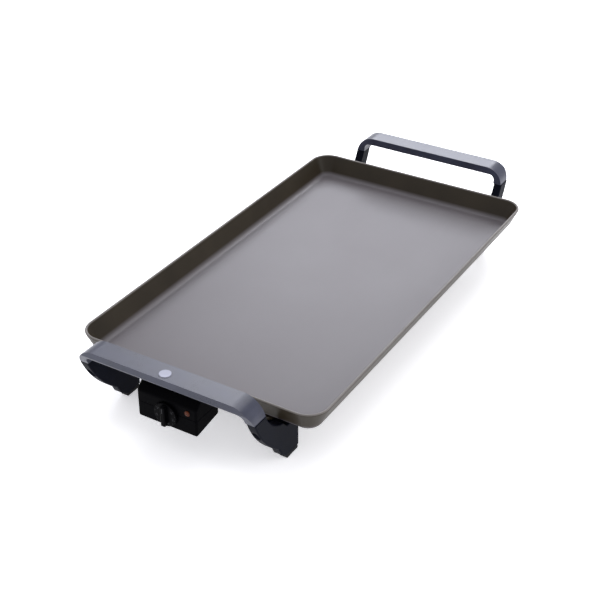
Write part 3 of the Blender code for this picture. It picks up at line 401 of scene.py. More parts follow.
def as_mesh(bm, name):
    """A mesh of a bmesh, which is used up."""
    mesh = bpy.data.meshes.new(name)
    bm.to_mesh(mesh)
    bm.free()
    return mesh


def finish_piece(bm, name, material, node):
    """Turn a bmesh into the piece that stands for a CAD node."""
    bmesh.ops.remove_doubles(bm, verts=bm.verts, dist=WELD)
    bmesh.ops.recalc_face_normals(bm, faces=bm.faces)
    mesh = as_mesh(bm, name)
    mesh.shade_smooth()
    mesh.set_sharp_from_angle(angle=SHARP)
    mesh.materials.append(material)
    piece = add_object(name, mesh)
    even = piece.modifiers.new("Even shading", "WEIGHTED_NORMAL")
    even.keep_sharp = True
    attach(piece, body_of[node])
    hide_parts(node)


def middle_of(node):
    """The middle of a CAD node's box."""
    low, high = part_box(node)
    return (low + high) / 2


# %% Choose points and edges
def everything(bm):
    """Every vertex, edge and face."""
    return bm.verts[:] + bm.edges[:] + bm.faces[:]


def points_of(geometry):
    """Only the vertices of what an operator returned."""
    return [item for item in geometry if isinstance(item, bmesh.types.BMVert)]


def edges_of(geometry):
    """Only the edges of what an operator returned."""
    return [item for item in geometry if isinstance(item, bmesh.types.BMEdge)]


def sharp_edges(bm, degrees):
    """The edges where two faces meet at more than an angle."""
    return [e for e in bm.edges if e.calc_face_angle(0.0) > radians(degrees)]


def round_edges(bm, edges, radius, segments=4):
    """Round some edges with an even curve."""
    bmesh.ops.bevel(bm, geom=edges, offset=radius, offset_type="OFFSET", segments=segments, profile=0.5,
                    affect="EDGES", clamp_overlap=True, material=-1)


# %% Outlines and extrusions
def arc(centre, radius, first, last, steps):
    """Points on a circle from one angle to another."""
    angles = [first + (last - first) * i / steps for i in range(steps + 1)]
    return [Vector((centre[0] + radius * cos(a), centre[1] + radius * sin(a))) for a in angles]


def bulged(start, end, bulge, steps):
    """Points on the arc from start to end that bulges to the left of that direction."""
    a = Vector(start)
    b = Vector(end)
    half = (b - a).length / 2
    radius = (half * half + bulge * bulge) / (2 * bulge)
    left = Vector((-(b - a).y, (b - a).x)).normalized()
    centre = (a + b) / 2 + left * (bulge - radius)
    first = atan2(a.y - centre.y, a.x - centre.x)
    last = atan2(b.y - centre.y, b.x - centre.x)
    sweep = (last - first + pi) % tau - pi
    return arc(centre, abs(radius), first, first + sweep, steps)


def extruded(outline, depth, place):
    """A flat outline in XY given a depth along Z, then put in its place."""
    bm = bmesh.new()
    face = bm.faces.new([bm.verts.new((x, y, 0.0)) for x, y in outline])
    raised = bmesh.ops.extrude_face_region(bm, geom=[face])
    bmesh.ops.translate(bm, verts=points_of(raised["geom"]), vec=(0.0, 0.0, depth))
    bmesh.ops.transform(bm, matrix=place, verts=bm.verts)
    bmesh.ops.recalc_face_normals(bm, faces=bm.faces)
    return bm


def turned(profile, place, steps=32):
    """A round piece spun from a (radius, height) profile about its own Z, then put in its place."""
    bm = bmesh.new()
    verts = [bm.verts.new((radius, 0.0, height)) for radius, height in profile]
    edges = [bm.edges.new(pair) for pair in zip(verts, verts[1:])]
    bmesh.ops.spin(bm, geom=verts + edges, cent=(0, 0, 0), axis=(0, 0, 1), angle=tau, steps=steps,
                   use_merge=True)
    bmesh.ops.remove_doubles(bm, verts=bm.verts, dist=WELD)
    bmesh.ops.dissolve_degenerate(bm, edges=bm.edges, dist=WELD)
    bmesh.ops.transform(bm, matrix=place, verts=bm.verts)
    bmesh.ops.recalc_face_normals(bm, faces=bm.faces)
    return bm


def box_between(low, high):
    """A box between two corners."""
    size = Vector(high) - Vector(low)
    middle = (Vector(high) + Vector(low)) / 2
    bm = bmesh.new()
    bmesh.ops.create_cube(bm, size=1.0, matrix=Matrix.Translation(middle) @ Matrix.Diagonal((*size, 1.0)))
    return bm


# %% Drill and weld
def add_rod(bm, start, end, radius, segments=24):
    """Add a straight round rod to a bmesh."""
    along = Vector(end) - Vector(start)
    turn = along.to_track_quat("Z", "Y").to_matrix().to_4x4()
    middle = Matrix.Translation((Vector(start) + Vector(end)) / 2)
    bmesh.ops.create_cone(bm, cap_ends=True, segments=segments, radius1=radius, radius2=radius,
                          depth=along.length, matrix=middle @ turn)


def rods(radius, ends, segments=24):
    """Separate round rods in one bmesh."""
    bm = bmesh.new()
    for start, end in ends:
        add_rod(bm, start, end, radius, segments)
    return bm


def boolean(bm, tool, operation):
    """What is left when a tool shape is cut from a body, or welded to it. Both bmeshes are used up."""
    objects = [add_object("boolean_part", as_mesh(shape, "boolean_part")) for shape in (bm, tool)]
    cutting = objects[0].modifiers.new("Boolean", "BOOLEAN")
    cutting.operation = operation
    cutting.object = objects[1]
    cutting.solver = "EXACT"
    result = bmesh.new()
    result.from_object(objects[0], bpy.context.evaluated_depsgraph_get())
    for thing in objects:
        bpy.data.objects.remove(thing, do_unlink=True)
    return result


def standing(places, low, high):
    """The ends of upright rods at some places."""
    return [((place.x, place.y, low), (place.x, place.y, high)) for place in places]


def drill(bm, radius, ends, segments=24):
    """A body with straight round holes of one radius cut through it."""
    return boolean(bm, rods(radius, ends, segments), "DIFFERENCE")


print("modelling helpers ready")

# %% [markdown]
# ## The cooking tray
# The tray is one casting: a flat floor, a wall that flares outwards, and a rounded lip. A box could be
# scaled and bevelled into it, but then the wall's thickness and the two fillets would be hard to control.
# Instead a section of the wall is drawn once, spun a quarter turn round the corner's centre, and pulled
# straight along half of each side. Two mirrors then make the whole rim from that one quarter.

# %% Section of the tray's wall
TRAY_WALL = 0.003
TRAY_CORNER = 0.025
RIM_FLARE = 0.011           # how far the wall leans out from the floor to the lip
FLOOR_FILLET = 0.008
CORNER_STEPS = 18
FILLET_STEPS = 8
LIP_STEPS = 10
FLOOR_BORDER = 0.004        # a flat margin that keeps the big faces evenly shaded


def tray_section():
    """(inset, height) round the wall, from the underside over the lip to the cooking floor."""
    lean = atan2(RIM_FLARE, tray_high.z - cooking_floor)
    inward = Vector((cos(lean), sin(lean)))
    down_wall = Vector((sin(lean), -cos(lean)))
    half_wall = TRAY_WALL / 2
    lip = Vector((half_wall, tray_high.z - half_wall))
    offset = inward * (FLOOR_FILLET + half_wall)
    run = (lip.y + offset.y - cooking_floor - FLOOR_FILLET) / cos(lean)
    centre = lip + down_wall * run + offset
    outer = arc(centre, FLOOR_FILLET + TRAY_WALL, -pi / 2, lean - pi, FILLET_STEPS)
    over = arc(lip, half_wall, pi + lean, lean, LIP_STEPS)
    inner = arc(centre, FLOOR_FILLET, lean - pi, -pi / 2, FILLET_STEPS)
    return outer + over + inner


print("points round the wall:", len(tray_section()))


# %% Sweep the section round the tray
def tray_rim():
    """The whole wall, open under the floor and above it."""
    bm = bmesh.new()
    centre = Vector((tray_high.x - TRAY_CORNER, tray_high.y - TRAY_CORNER, 0.0))
    verts = [bm.verts.new((tray_high.x - inset, centre.y, height)) for inset, height in tray_section()]
    edges = [bm.edges.new(pair) for pair in zip(verts, verts[1:])]
    swept = bmesh.ops.spin(bm, geom=verts + edges, cent=centre, axis=(0, 0, 1), angle=pi / 2,
                           steps=CORNER_STEPS)
    last_edges = edges_of(swept["geom_last"])
    for line, reach in ((edges, (0.0, -centre.y, 0.0)), (last_edges, (-centre.x, 0.0, 0.0))):
        pulled = bmesh.ops.extrude_edge_only(bm, edges=line)
        bmesh.ops.translate(bm, verts=points_of(pulled["geom"]), vec=reach)
    for axis in ("X", "Y"):
        bmesh.ops.mirror(bm, geom=everything(bm), matrix=Matrix(), merge_dist=WELD, axis=axis)
    bmesh.ops.remove_doubles(bm, verts=bm.verts, dist=WELD)
    return bm


def tray_casting():
    """The rim with its floor and underside closed, each with a flat border."""
    bm = tray_rim()
    for level in (cooking_floor, cooking_floor - TRAY_WALL):
        loop = [e for e in bm.edges if e.is_boundary and abs(e.verts[0].co.z - level) < WELD]
        bmesh.ops.edgeloop_fill(bm, edges=loop)
    bmesh.ops.recalc_face_normals(bm, faces=bm.faces)
    flats = [f for f in bm.faces if len(f.verts) > 4]
    bmesh.ops.inset_individual(bm, faces=flats, thickness=FLOOR_BORDER)
    return bm


tray = tray_casting()
print("tray faces:", len(tray.faces))

# %% [markdown]
# The legs, the element's straps and the terminal guard are screwed to fourteen short round bosses under
# the floor. Each boss is a turned ring with a small fillet at its root, sitting above a screw of the frame.
# Welding them on with a Boolean gives one closed casting.

# %% Bosses under the tray
BOSS_RADIUS = 0.005
BOSS_FILLET = 0.0015
SCREW_RADIUS = 0.0019
screw_nodes = [name for name in frame["nodes"] if "_screw" in name]
tray_screws = [name for name in screw_nodes if "grip" not in name and "case" not in name]


def boss(x, y):
    """A round boss with a blind hole, from its face up into the floor's thickness."""
    root = cooking_floor - TRAY_WALL
    fillet = arc((BOSS_RADIUS + BOSS_FILLET, root - BOSS_FILLET), BOSS_FILLET, pi / 2, pi, 5)
    hole = SCREW_RADIUS + FIT
    profile = [(0.0, root + TRAY_WALL / 3), (BOSS_RADIUS + BOSS_FILLET, root + TRAY_WALL / 3)] + fillet
    profile += [(BOSS_RADIUS, tray_low.z + FIT), (BOSS_RADIUS - FIT, tray_low.z), (hole, tray_low.z)]
    profile += [(hole, root - FIT), (0.0, root - FIT)]
    return turned(profile, Matrix.Translation((x, y, 0.0)), 28)


for node in tray_screws:
    x, y, _ = middle_of(node)
    tray = boolean(tray, boss(x, y), "UNION")
finish_piece(tray, "griddle_tray", TRAY_COATING, "cooking_tray")
print("bosses:", len(tray_screws))

# %% [markdown]
# ## Legs and grips
# Each end bracket is two legs that sweep out and up into arms, and a grip bar that stands on them. Seen from
# the side a leg is an outline of two long arcs, so it is drawn flat and given its thickness. The grip is a
# staple shape seen from the front, and its ends lean in towards the arms. The edges get the same
# rounding on both, so they run on into each other, and the meeting faces stay sharp so that only a fine seam
# shows between them.
#
# The front end is modelled, and a half turn about Z makes the rear end from the same functions.

# %% Sizes of the end brackets
BRACKET_EDGE = 0.0020
BRACKET_ANGLE = 25          # edges sharper than this many degrees are rounded
GRIP_DEPTH = 0.025
GRIP_THICKNESS = 0.0095
GRIP_CORNER = 0.024
GRIP_INNER_CORNER = 0.007
GRIP_SHOULDER = 0.007       # how far below the top the ends start to lean in
ARM_REACH = (0.024, 0.044)  # the arm's top, outwards from the tray's end
LEG_THICKNESS = 0.011
ENDS = (("front", Matrix.Identity(4)), ("rear", Matrix.Rotation(pi, 4, "Z")))
SIDES = (("left", -1), ("right", 1))
grip_low, grip_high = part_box("front_grip")
leg_low, leg_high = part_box("front_right_leg")
tray_end = tray_high.y
arm_top = leg_high.z
print("arm top and grip top (mm):", round(1000 * arm_top, 1), round(1000 * grip_high.z, 1))


# %% A grip bar
def grip_outline():
    """(x, z) round the grip seen from the front: a staple standing on the two arms."""
    half = grip_high.x
    top = grip_high.z
    foot = grip_low.z
    inner_x = half - LEG_THICKNESS
    outer_centre = Vector((half - GRIP_CORNER, top - GRIP_CORNER))
    inner_centre = Vector((inner_x - GRIP_INNER_CORNER, top - GRIP_THICKNESS - GRIP_INNER_CORNER))
    foot_angle = asin((foot - outer_centre.y) / GRIP_CORNER)
    right = [Vector((inner_x, foot))] + arc(outer_centre, GRIP_CORNER, foot_angle, pi / 2, 22)
    inside = arc(inner_centre, GRIP_INNER_CORNER, pi / 2, 0.0, 10)
    outline = right + [Vector((-p.x, p.y)) for p in reversed(right)]
    return outline + [Vector((-p.x, p.y)) for p in reversed(inside)] + inside


def lean_ends(bm, outer_y, inner_y):
    """Slide everything below the shoulder inwards, so that the ends meet the arms."""
    shoulder = grip_high.z - GRIP_SHOULDER
    bmesh.ops.bisect_plane(bm, geom=everything(bm), dist=WELD, plane_co=(0.0, 0.0, shoulder),
                           plane_no=(0.0, 0.0, 1.0))
    fall = shoulder - grip_low.z
    for vert in bm.verts:
        share = max(0.0, (shoulder - vert.co.z) / fall)
        is_outer = abs(vert.co.y - outer_y) < WELD
        meets = -tray_end - ARM_REACH[1 if is_outer else 0]
        vert.co.y += share * (meets - (outer_y if is_outer else inner_y))


def grip_bar(turn):
    """The grip over one end."""
    outer_y = grip_low.y
    inner_y = outer_y + GRIP_DEPTH
    upright = Matrix.Translation((0.0, inner_y, 0.0)) @ Matrix.Rotation(pi / 2, 4, "X")
    bm = extruded(grip_outline(), GRIP_DEPTH, upright)
    lean_ends(bm, outer_y, inner_y)
    foot = grip_low.z + WELD
    edges = [e for e in sharp_edges(bm, BRACKET_ANGLE) if not all(v.co.z < foot for v in e.verts)]
    round_edges(bm, edges, BRACKET_EDGE, 5)
    bmesh.ops.transform(bm, matrix=turn, verts=bm.verts)
    return bm


# %% [markdown]
# A plain round badge is let into the middle of the front grip. Its recess is a shallow drilling, and the
# badge is a turned disc with a soft dish, whose edge stands a little proud of the plastic.

# %% Both grips, and the badge
badge_low, badge_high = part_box("grip_badge")
badge_middle = middle_of("grip_badge")
badge_radius = (badge_high.x - badge_low.x) / 2
BADGE_DISH = 0.0002
DISH_SHARES = (0.80, 0.86)  # the dish's slope, as shares of the badge's radius
DRILL_CLEAR = 0.01          # how far a drill reaches out past the surface

for end, turn in ENDS:
    bar = grip_bar(turn)
    if end == "front":
        floor_of_recess = Vector((badge_middle.x, badge_middle.y, badge_low.z - FIT))
        above = floor_of_recess + Vector((0.0, 0.0, DRILL_CLEAR))
        bar = drill(bar, badge_radius + FIT, [(floor_of_recess, above)], 64)
    finish_piece(bar, f"{end}_grip_bar", GRIP_PHENOLIC_PAINTED_LIGHT, f"{end}_grip")

thickness = badge_high.z - badge_low.z
edge = thickness / 3
disc = [(0.0, thickness - BADGE_DISH), (badge_radius * DISH_SHARES[0], thickness - BADGE_DISH)]
disc += [(badge_radius * DISH_SHARES[1], thickness), (badge_radius - edge, thickness)]
disc += arc((badge_radius - edge, thickness - edge), edge, pi / 2, 0.0, 4)
disc += [(badge_radius, 0.0), (0.0, 0.0)]
place = Matrix.Translation((badge_middle.x, badge_middle.y, badge_low.z))
finish_piece(turned(disc, place, 64), "plain_round_badge", BADGE_SILVER, "grip_badge")
print("badge radius (mm):", round(1000 * badge_radius, 1))

# %% [markdown]
# A leg is drawn as (reach outwards from the tray's end, height). Its inner and outer arcs bow towards the
# table, the way a bent stem does. A thin tab on its inner side takes two screws into the tray's bosses, and
# a deep counterbore from below takes the screw that holds the grip.

# %% Outline of a leg
LEG_BACK = -0.037
LEG_SHOULDER = -0.014
LEG_TOE = (-0.004, 0.012)
TOE_FOOT = -0.013
ARM_INNER_START = (-0.006, 0.052)
ARM_OUTER_START = (0.001, 0.022)
ARM_BULGE = 0.005
ARM_STEPS = 26
pad_low, pad_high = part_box("front_right_foot")
PAD_HEIGHT = 0.004
tab_top = tray_low.z - FIT
TAB_THICKNESS = 0.004


def leg_outline():
    """(reach, height) round a leg and the arm that carries the grip."""
    foot = leg_low.z
    outline = bulged((ARM_REACH[0], arm_top), ARM_INNER_START, ARM_BULGE, ARM_STEPS)
    outline += [(LEG_SHOULDER, tab_top), (LEG_BACK, tab_top), (LEG_BACK, foot), (TOE_FOOT, foot), LEG_TOE]
    outline += bulged(ARM_OUTER_START, (ARM_REACH[1], arm_top), -ARM_BULGE, ARM_STEPS)
    return outline


def side_on(x):
    """Stands a (reach, height) outline upright at the front end, with its depth towards -X."""
    return Matrix(((0, 0, -1, x), (-1, 0, 0, -tray_end), (0, 1, 0, 0), (0, 0, 0, 1)))


print("points round a leg:", len(leg_outline()))


# %% Model a leg
SCREW_HEAD_RADIUS = 0.0036
SCREW_HEAD_HEIGHT = 0.0022
TAB_REACH = (0.009, 0.036)  # the screw tab, inwards from the tray's end
COUNTERBORE = 0.020
PEG_RADIUS = 0.0025
TAB_EDGE = 0.0012


def leg_moulding():
    """The front right leg, with its tab, its drilled holes and its foot's peg hole."""
    bm = extruded(leg_outline(), LEG_THICKNESS, side_on(leg_high.x))
    meets_grip = arm_top - WELD
    edges = [e for e in sharp_edges(bm, BRACKET_ANGLE) if not all(v.co.z > meets_grip for v in e.verts)]
    round_edges(bm, edges, BRACKET_EDGE, 5)
    tab = box_between((leg_low.x, -tray_end + TAB_REACH[0], tab_top - TAB_THICKNESS),
                      (leg_high.x - LEG_THICKNESS / 2, -tray_end + TAB_REACH[1], tab_top))
    inner_edges = [e for e in tab.edges if all(v.co.x < leg_low.x + WELD for v in e.verts)]
    round_edges(tab, inner_edges, TAB_EDGE, 3)
    bm = boolean(bm, tab, "UNION")
    leg_screws = [middle_of(f"front_right_leg_screw_{n}") for n in (1, 2)]
    grip_screw = [middle_of("front_right_grip_screw")]
    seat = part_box("front_right_grip_screw")[0].z + SCREW_HEAD_HEIGHT + FIT
    screw_holes = standing(leg_screws, tab_top - 2 * TAB_THICKNESS, tab_top + FIT)
    screw_holes += standing(grip_screw, seat - FIT, arm_top + FIT)
    bm = drill(bm, SCREW_RADIUS + FIT, screw_holes, 20)
    bm = drill(bm, SCREW_HEAD_RADIUS + 2 * FIT, standing(grip_screw, seat - COUNTERBORE, seat), 32)
    return drill(bm, PEG_RADIUS + FIT, standing([middle_of("front_right_foot")], 0.0, pad_high.z + FIT))


# %% Four legs from one
FLIP = {1: Matrix.Identity(4), -1: Matrix.Diagonal((-1.0, 1.0, 1.0, 1.0))}


def copy_of(mesh, place):
    """A new bmesh of a finished pattern, put in its place."""
    bm = bmesh.new()
    bm.from_mesh(mesh)
    bmesh.ops.transform(bm, matrix=place, verts=bm.verts)
    return bm


def at_each_corner(pattern, kind, ending, material):
    """Four pieces from the pattern of the front right one."""
    mesh = as_mesh(pattern, f"{kind}_pattern")
    for end, turn in ENDS:
        for side_name, side in SIDES:
            node = f"{end}_{side_name}_{kind}"
            finish_piece(copy_of(mesh, turn @ FLIP[side]), f"{node}_{ending}", material, node)
    print(f"faces on a {kind}:", len(mesh.polygons))


at_each_corner(leg_moulding(), "leg", "moulding", LEG_PHENOLIC_PAINTED_SHADE)

# %% [markdown]
# Each leg stands on a rubber foot: a rounded pad with three grooves across its sole, and a peg that plugs
# into the leg. The pad starts as a box, its edges are rounded, and the grooves and the peg are Booleans.

# %% Feet
PAD_EDGE = 0.0009
GROOVES = 3
GROOVE_WIDTH = 0.0009
GROOVE_DEPTH = 0.0007


def foot_pad():
    """The front right foot."""
    top = pad_low.z + PAD_HEIGHT
    bm = box_between(pad_low, (pad_high.x, pad_high.y, top))
    round_edges(bm, bm.edges[:], PAD_EDGE, 4)
    pitch = (pad_high.y - pad_low.y) / (GROOVES + 1)
    for number in range(1, GROOVES + 1):
        y = pad_low.y + number * pitch
        groove = box_between((pad_low.x - PAD_EDGE, y - GROOVE_WIDTH / 2, pad_low.z - PAD_EDGE),
                             (pad_high.x + PAD_EDGE, y + GROOVE_WIDTH / 2, pad_low.z + GROOVE_DEPTH))
        bm = boolean(bm, groove, "DIFFERENCE")
    peg = rods(PEG_RADIUS, standing([middle_of("front_right_foot")], top - PAD_EDGE, pad_high.z))
    return boolean(bm, peg, "UNION")


at_each_corner(foot_pad(), "foot", "pad", RUBBER)

# %% [markdown]
# ## Screws
# Twenty screws hold the griddle together. A real pan head is a low dome with a cross recess, and a
# machine thread is a spiral, which at this size reads the same as a stack of rings. So one profile, with the
# dome and the rings on it, is spun into a screw, and a cross of two tapered bars is cut out of its head. The
# length comes from each CAD screw's own box, and every screw is turned to a different angle, as they end up
# when a person drives them.

# %% Model one screw
THREAD_PITCH = 0.0007
THREAD_DEPTH = 0.0003
RECESS_WIDTH = 0.0009
RECESS_SPAN = 0.62          # the cross's span as a share of the head's width
RECESS_DEPTH = 0.55         # and its depth as a share of the head's height
RECESS_TAPER = (0.55, 0.75, 1.0)
HEAD_RIM = 0.35             # the straight rim under the dome, as a share of the head's height
TURN_STEP = radians(37)


def quarter(steps=8):
    """Even angles from zero to a right angle."""
    return [pi / 2 * i / steps for i in range(steps + 1)]


def screw_shape(length, head_radius, head_height):
    """A screw pointing up, with the underside of its head at height 0."""
    rim = head_height * HEAD_RIM
    dome = [(head_radius * cos(a), -rim - (head_height - rim) * sin(a)) for a in quarter()]
    rings = int((length - THREAD_PITCH) / THREAD_PITCH)
    root = SCREW_RADIUS - THREAD_DEPTH
    shank = [(0.0, length), (root, length)]
    for ring in range(rings, 0, -1):
        shank += [(SCREW_RADIUS, (ring + 0.5) * THREAD_PITCH), (root, ring * THREAD_PITCH)]
    shank.append((root, 0.0))
    bm = turned(shank + [(head_radius - rim / 4, 0.0), (head_radius, -rim / 4)] + dome, Matrix(), 24)
    for angle in (0.0, pi / 2):
        bar = box_between((-head_radius * RECESS_SPAN, -RECESS_WIDTH / 2, -2 * head_height),
                          (head_radius * RECESS_SPAN, RECESS_WIDTH / 2, head_height * (RECESS_DEPTH - 1.0)))
        deep = [v for v in bar.verts if v.co.z > -head_height]
        bmesh.ops.scale(bar, vec=RECESS_TAPER, verts=deep)
        bmesh.ops.rotate(bar, cent=(0, 0, 0), matrix=Matrix.Rotation(angle, 3, "Z"), verts=bar.verts)
        bm = boolean(bm, bar, "DIFFERENCE")
    return bm


# %% Put a screw at every CAD screw
CASE_HEAD_HEIGHT = 0.0016
screw_patterns = {}
for number, node in enumerate(sorted(screw_nodes)):
    low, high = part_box(node)
    head_height = CASE_HEAD_HEIGHT if "case" in node else SCREW_HEAD_HEIGHT
    length = high.z - low.z - head_height
    key = (round(length, 5), round(high.x - low.x, 5))
    if key not in screw_patterns:
        pattern = screw_shape(length, (high.x - low.x) / 2, head_height)
        screw_patterns[key] = as_mesh(pattern, f"screw_pattern_{len(screw_patterns)}")
    x, y, _ = middle_of(node)
    place = Matrix.Translation((x, y, low.z + head_height)) @ Matrix.Rotation(number * TURN_STEP, 4, "Z")
    finish_piece(copy_of(screw_patterns[key], place), f"{node}_cross_head", ZINC_SCREWS, node)
print("screws:", len(screw_nodes), "of", len(screw_patterns), "lengths")

# %% [markdown]
# ## The heating element
# The element is one steel tube bent into an M under the floor. A curve with a round bevel would give it in
# one step. Here it is made the way a bending machine makes it: a ring of the tube's size is pulled straight
# for a run, spun round the centre of each bend, and pulled on, until it comes back to the second terminal.

# %% Route of the element
TUBE_RADIUS = 0.0035
TUBE_BEND = 0.014
INNER_LANE = 0.034
MIDDLE_CROSSING = -0.150
TUBE_SIDES = 20
BEND_STEPS = 10
tube_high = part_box("heating_element")[1]
tube_height = tube_high.z - TUBE_RADIUS
outer_lane = tube_high.x - TUBE_RADIUS
lane_end = tube_high.y - TUBE_RADIUS
terminal = middle_of("right_terminal_pin")
tube_start = Vector((terminal.x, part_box("right_terminal_bead")[1].y + FIT, terminal.z))

# (length of the straight run, quarter turn after it: 1 to the left, -1 to the right)
half_route = [
    (-lane_end - TUBE_BEND - tube_start.y, -1),
    (outer_lane - tube_start.x - 2 * TUBE_BEND, 1),
    (2 * (lane_end - TUBE_BEND), 1),
    (outer_lane - INNER_LANE - 2 * TUBE_BEND, 1),
    (lane_end - MIDDLE_CROSSING - 2 * TUBE_BEND, -1),
]
crossing = [(2 * (INNER_LANE - TUBE_BEND), -1)]
way_back = [(run, half_route[i - 1][1]) for i, (run, _) in reversed(list(enumerate(half_route)))]
way_back[-1] = (way_back[-1][0], 0)
route = half_route + crossing + way_back
element_length = sum(run + abs(bend) * TUBE_BEND * pi / 2 for run, bend in route)
print("element length (mm):", round(1000 * element_length))


# %% Pull and bend the tube
def pull(bm, ring, step):
    """Pull a ring of edges along a step and return the new ring."""
    pulled = bmesh.ops.extrude_edge_only(bm, edges=ring)["geom"]
    bmesh.ops.translate(bm, verts=points_of(pulled), vec=step)
    moved = set(points_of(pulled))
    return [e for e in edges_of(pulled) if all(v in moved for v in e.verts)]


def bent_tube():
    """The whole element as one tube with closed ends."""
    bm = bmesh.new()
    upright = Matrix.Translation(tube_start) @ Matrix.Rotation(pi / 2, 4, "X")
    bmesh.ops.create_circle(bm, segments=TUBE_SIDES, radius=TUBE_RADIUS, matrix=upright)
    ring = bm.edges[:]
    at = tube_start.copy()
    heading = Vector((0.0, 1.0, 0.0))
    for number, (run, bend) in enumerate(route):
        rise = {0: tube_height - tube_start.z, len(route) - 1: tube_start.z - tube_height}.get(number, 0.0)
        step = heading * run + Vector((0.0, 0.0, rise))
        ring = pull(bm, ring, step)
        at += step
        if bend:
            left = Vector((-heading.y, heading.x, 0.0))
            centre = at + left * bend * TUBE_BEND
            spun = bmesh.ops.spin(bm, geom=points_of({v for e in ring for v in e.verts}) + ring, cent=centre,
                                  axis=(0, 0, 1), angle=bend * pi / 2, steps=BEND_STEPS)
            ring = edges_of(spun["geom_last"])
            at += (left * bend + heading) * TUBE_BEND
            heading = left * bend
    bmesh.ops.holes_fill(bm, edges=[e for e in bm.edges if e.is_boundary])
    return bm


finish_piece(bent_tube(), "bent_element_tube", SHEATH, "heating_element")
print("element lanes (mm):", round(1000 * INNER_LANE), round(1000 * outer_lane))

# %% [markdown]
# Four sheet-steel straps hold the element up against the floor. Seen from the end a strap is a hook round
# the tube with a flat wing for its screw, so it is an outline with a width. The tube's own radius sets the
# hook.

# %% Straps
STRAP_SHEET = 0.001
STRAP_EDGE = 0.0002


def strap_outline(span):
    """(across, height) round a strap of a span, measured from the middle of the tube."""
    bore = TUBE_RADIUS + FIT
    outside = bore + STRAP_SHEET
    wing_top = tab_top - tube_height
    wing_bottom = wing_top - STRAP_SHEET
    wing_end = span - outside
    wing_angle = asin(wing_top / bore)
    under_angle = asin(wing_bottom / outside)
    hook = arc((0.0, 0.0), bore, wing_angle, -pi, 20)
    back = arc((0.0, 0.0), outside, -pi, under_angle, 20)
    return [Vector((wing_end, wing_top))] + hook + back + [Vector((wing_end, wing_bottom))]


def strap(number):
    """One strap, its wing towards the middle of the griddle."""
    low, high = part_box(f"element_strap_{number}")
    side = 1 if low.x > 0 else -1
    width = high.y - low.y
    turn = Matrix.Rotation(pi, 4, "Z") if side > 0 else Matrix()
    lane = Matrix.Translation((side * outer_lane, (low.y + high.y) / 2, tube_height))
    bm = extruded(strap_outline(high.x - low.x), width,
                  lane @ turn @ Matrix.Rotation(pi / 2, 4, "X") @ Matrix.Translation((0, 0, -width / 2)))
    round_edges(bm, sharp_edges(bm, 60), STRAP_EDGE, 2)
    screw = [middle_of(f"strap_screw_{number}")]
    return drill(bm, SCREW_RADIUS + FIT, standing(screw, tab_top - 3 * STRAP_SHEET, tab_top + STRAP_SHEET))


for number in range(1, 5):
    finish_piece(strap(number), f"bent_strap_{number}", ZINC_SHEET, f"element_strap_{number}")
print("straps: 4")

# %% [markdown]
# ## Terminals, well and guard
# At the front the tube's two ends carry steel pins in ceramic beads, and a closed tube between them takes
# the control's temperature probe. All three are turned shapes laid along Y. A folded sheet guard, open at
# the front, keeps fingers off the pins. It starts as a box with one side left off, so that the folds can be
# rounded before the sheet is given its thickness.

# %% Turned terminal parts
BEAD_BORE = 0.0023
BEAD_ROUND = 0.0008
PIN_NOSE = 0.6              # the nose's rounding as a share of the pin's radius
PIN_CHAMFER = 0.2           # and the chamfer at its back


def turned_size(node):
    """The radius and the length of a CAD node that is round about Y."""
    low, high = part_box(node)
    return (high.x - low.x) / 2, high.y - low.y


def facing_front(node):
    """A place on a node's axis, at its back face, with +Z towards the front."""
    x, _, z = middle_of(node)
    return Matrix.Translation((x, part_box(node)[1].y, z)) @ Matrix.Rotation(pi / 2, 4, "X")


for side_name, _ in SIDES:
    node = f"{side_name}_terminal_bead"
    outer, length = turned_size(node)
    profile = [(BEAD_BORE, length)]
    profile += arc((outer - BEAD_ROUND, length - BEAD_ROUND), BEAD_ROUND, pi / 2, 0.0, 5)
    profile += arc((outer - BEAD_ROUND, BEAD_ROUND), BEAD_ROUND, 0.0, -pi / 2, 5)
    profile += [(BEAD_BORE, 0.0), (BEAD_BORE, length)]
    finish_piece(turned(profile, facing_front(node), 40), f"{side_name}_ceramic_bead", CERAMIC, node)

    node = f"{side_name}_terminal_pin"
    radius, length = turned_size(node)
    rounding = radius * PIN_NOSE
    chamfer = radius * PIN_CHAMFER
    nose = arc((radius - rounding, length - rounding), rounding, pi / 2, 0.0, 6)
    profile = [(0.0, length)] + nose + [(radius, chamfer), (radius - chamfer, 0.0), (0.0, 0.0)]
    finish_piece(turned(profile, facing_front(node), 28), f"{side_name}_contact_pin", STAINLESS, node)
print("terminal pins and beads: 4")

# %% Probe well
WELL_BORE = 0.0033
WELL_LIP = 0.0003
WELL_ROUND = 0.0015
well_radius, well_length = turned_size("probe_well")
end_round = arc((well_radius - WELL_ROUND, WELL_ROUND), WELL_ROUND, 0.0, -pi / 2, 5)
profile = [(WELL_BORE + WELL_LIP, well_length), (well_radius, well_length)] + end_round
profile += [(0.0, 0.0), (0.0, TRAY_WALL / 2), (WELL_BORE, TRAY_WALL / 2)]
profile += [(WELL_BORE, well_length - WELL_LIP), (WELL_BORE + WELL_LIP, well_length)]
finish_piece(turned(profile, facing_front("probe_well"), 36), "drawn_probe_well", ZINC_SHEET, "probe_well")
print("well length (mm):", round(1000 * well_length, 1))

# %% Folded guard
GUARD_SHEET = 0.001
GUARD_HALF_WIDTH = 0.023
GUARD_BACK = -0.247
FOLD = 0.0012
guard_low, guard_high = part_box("terminal_guard")


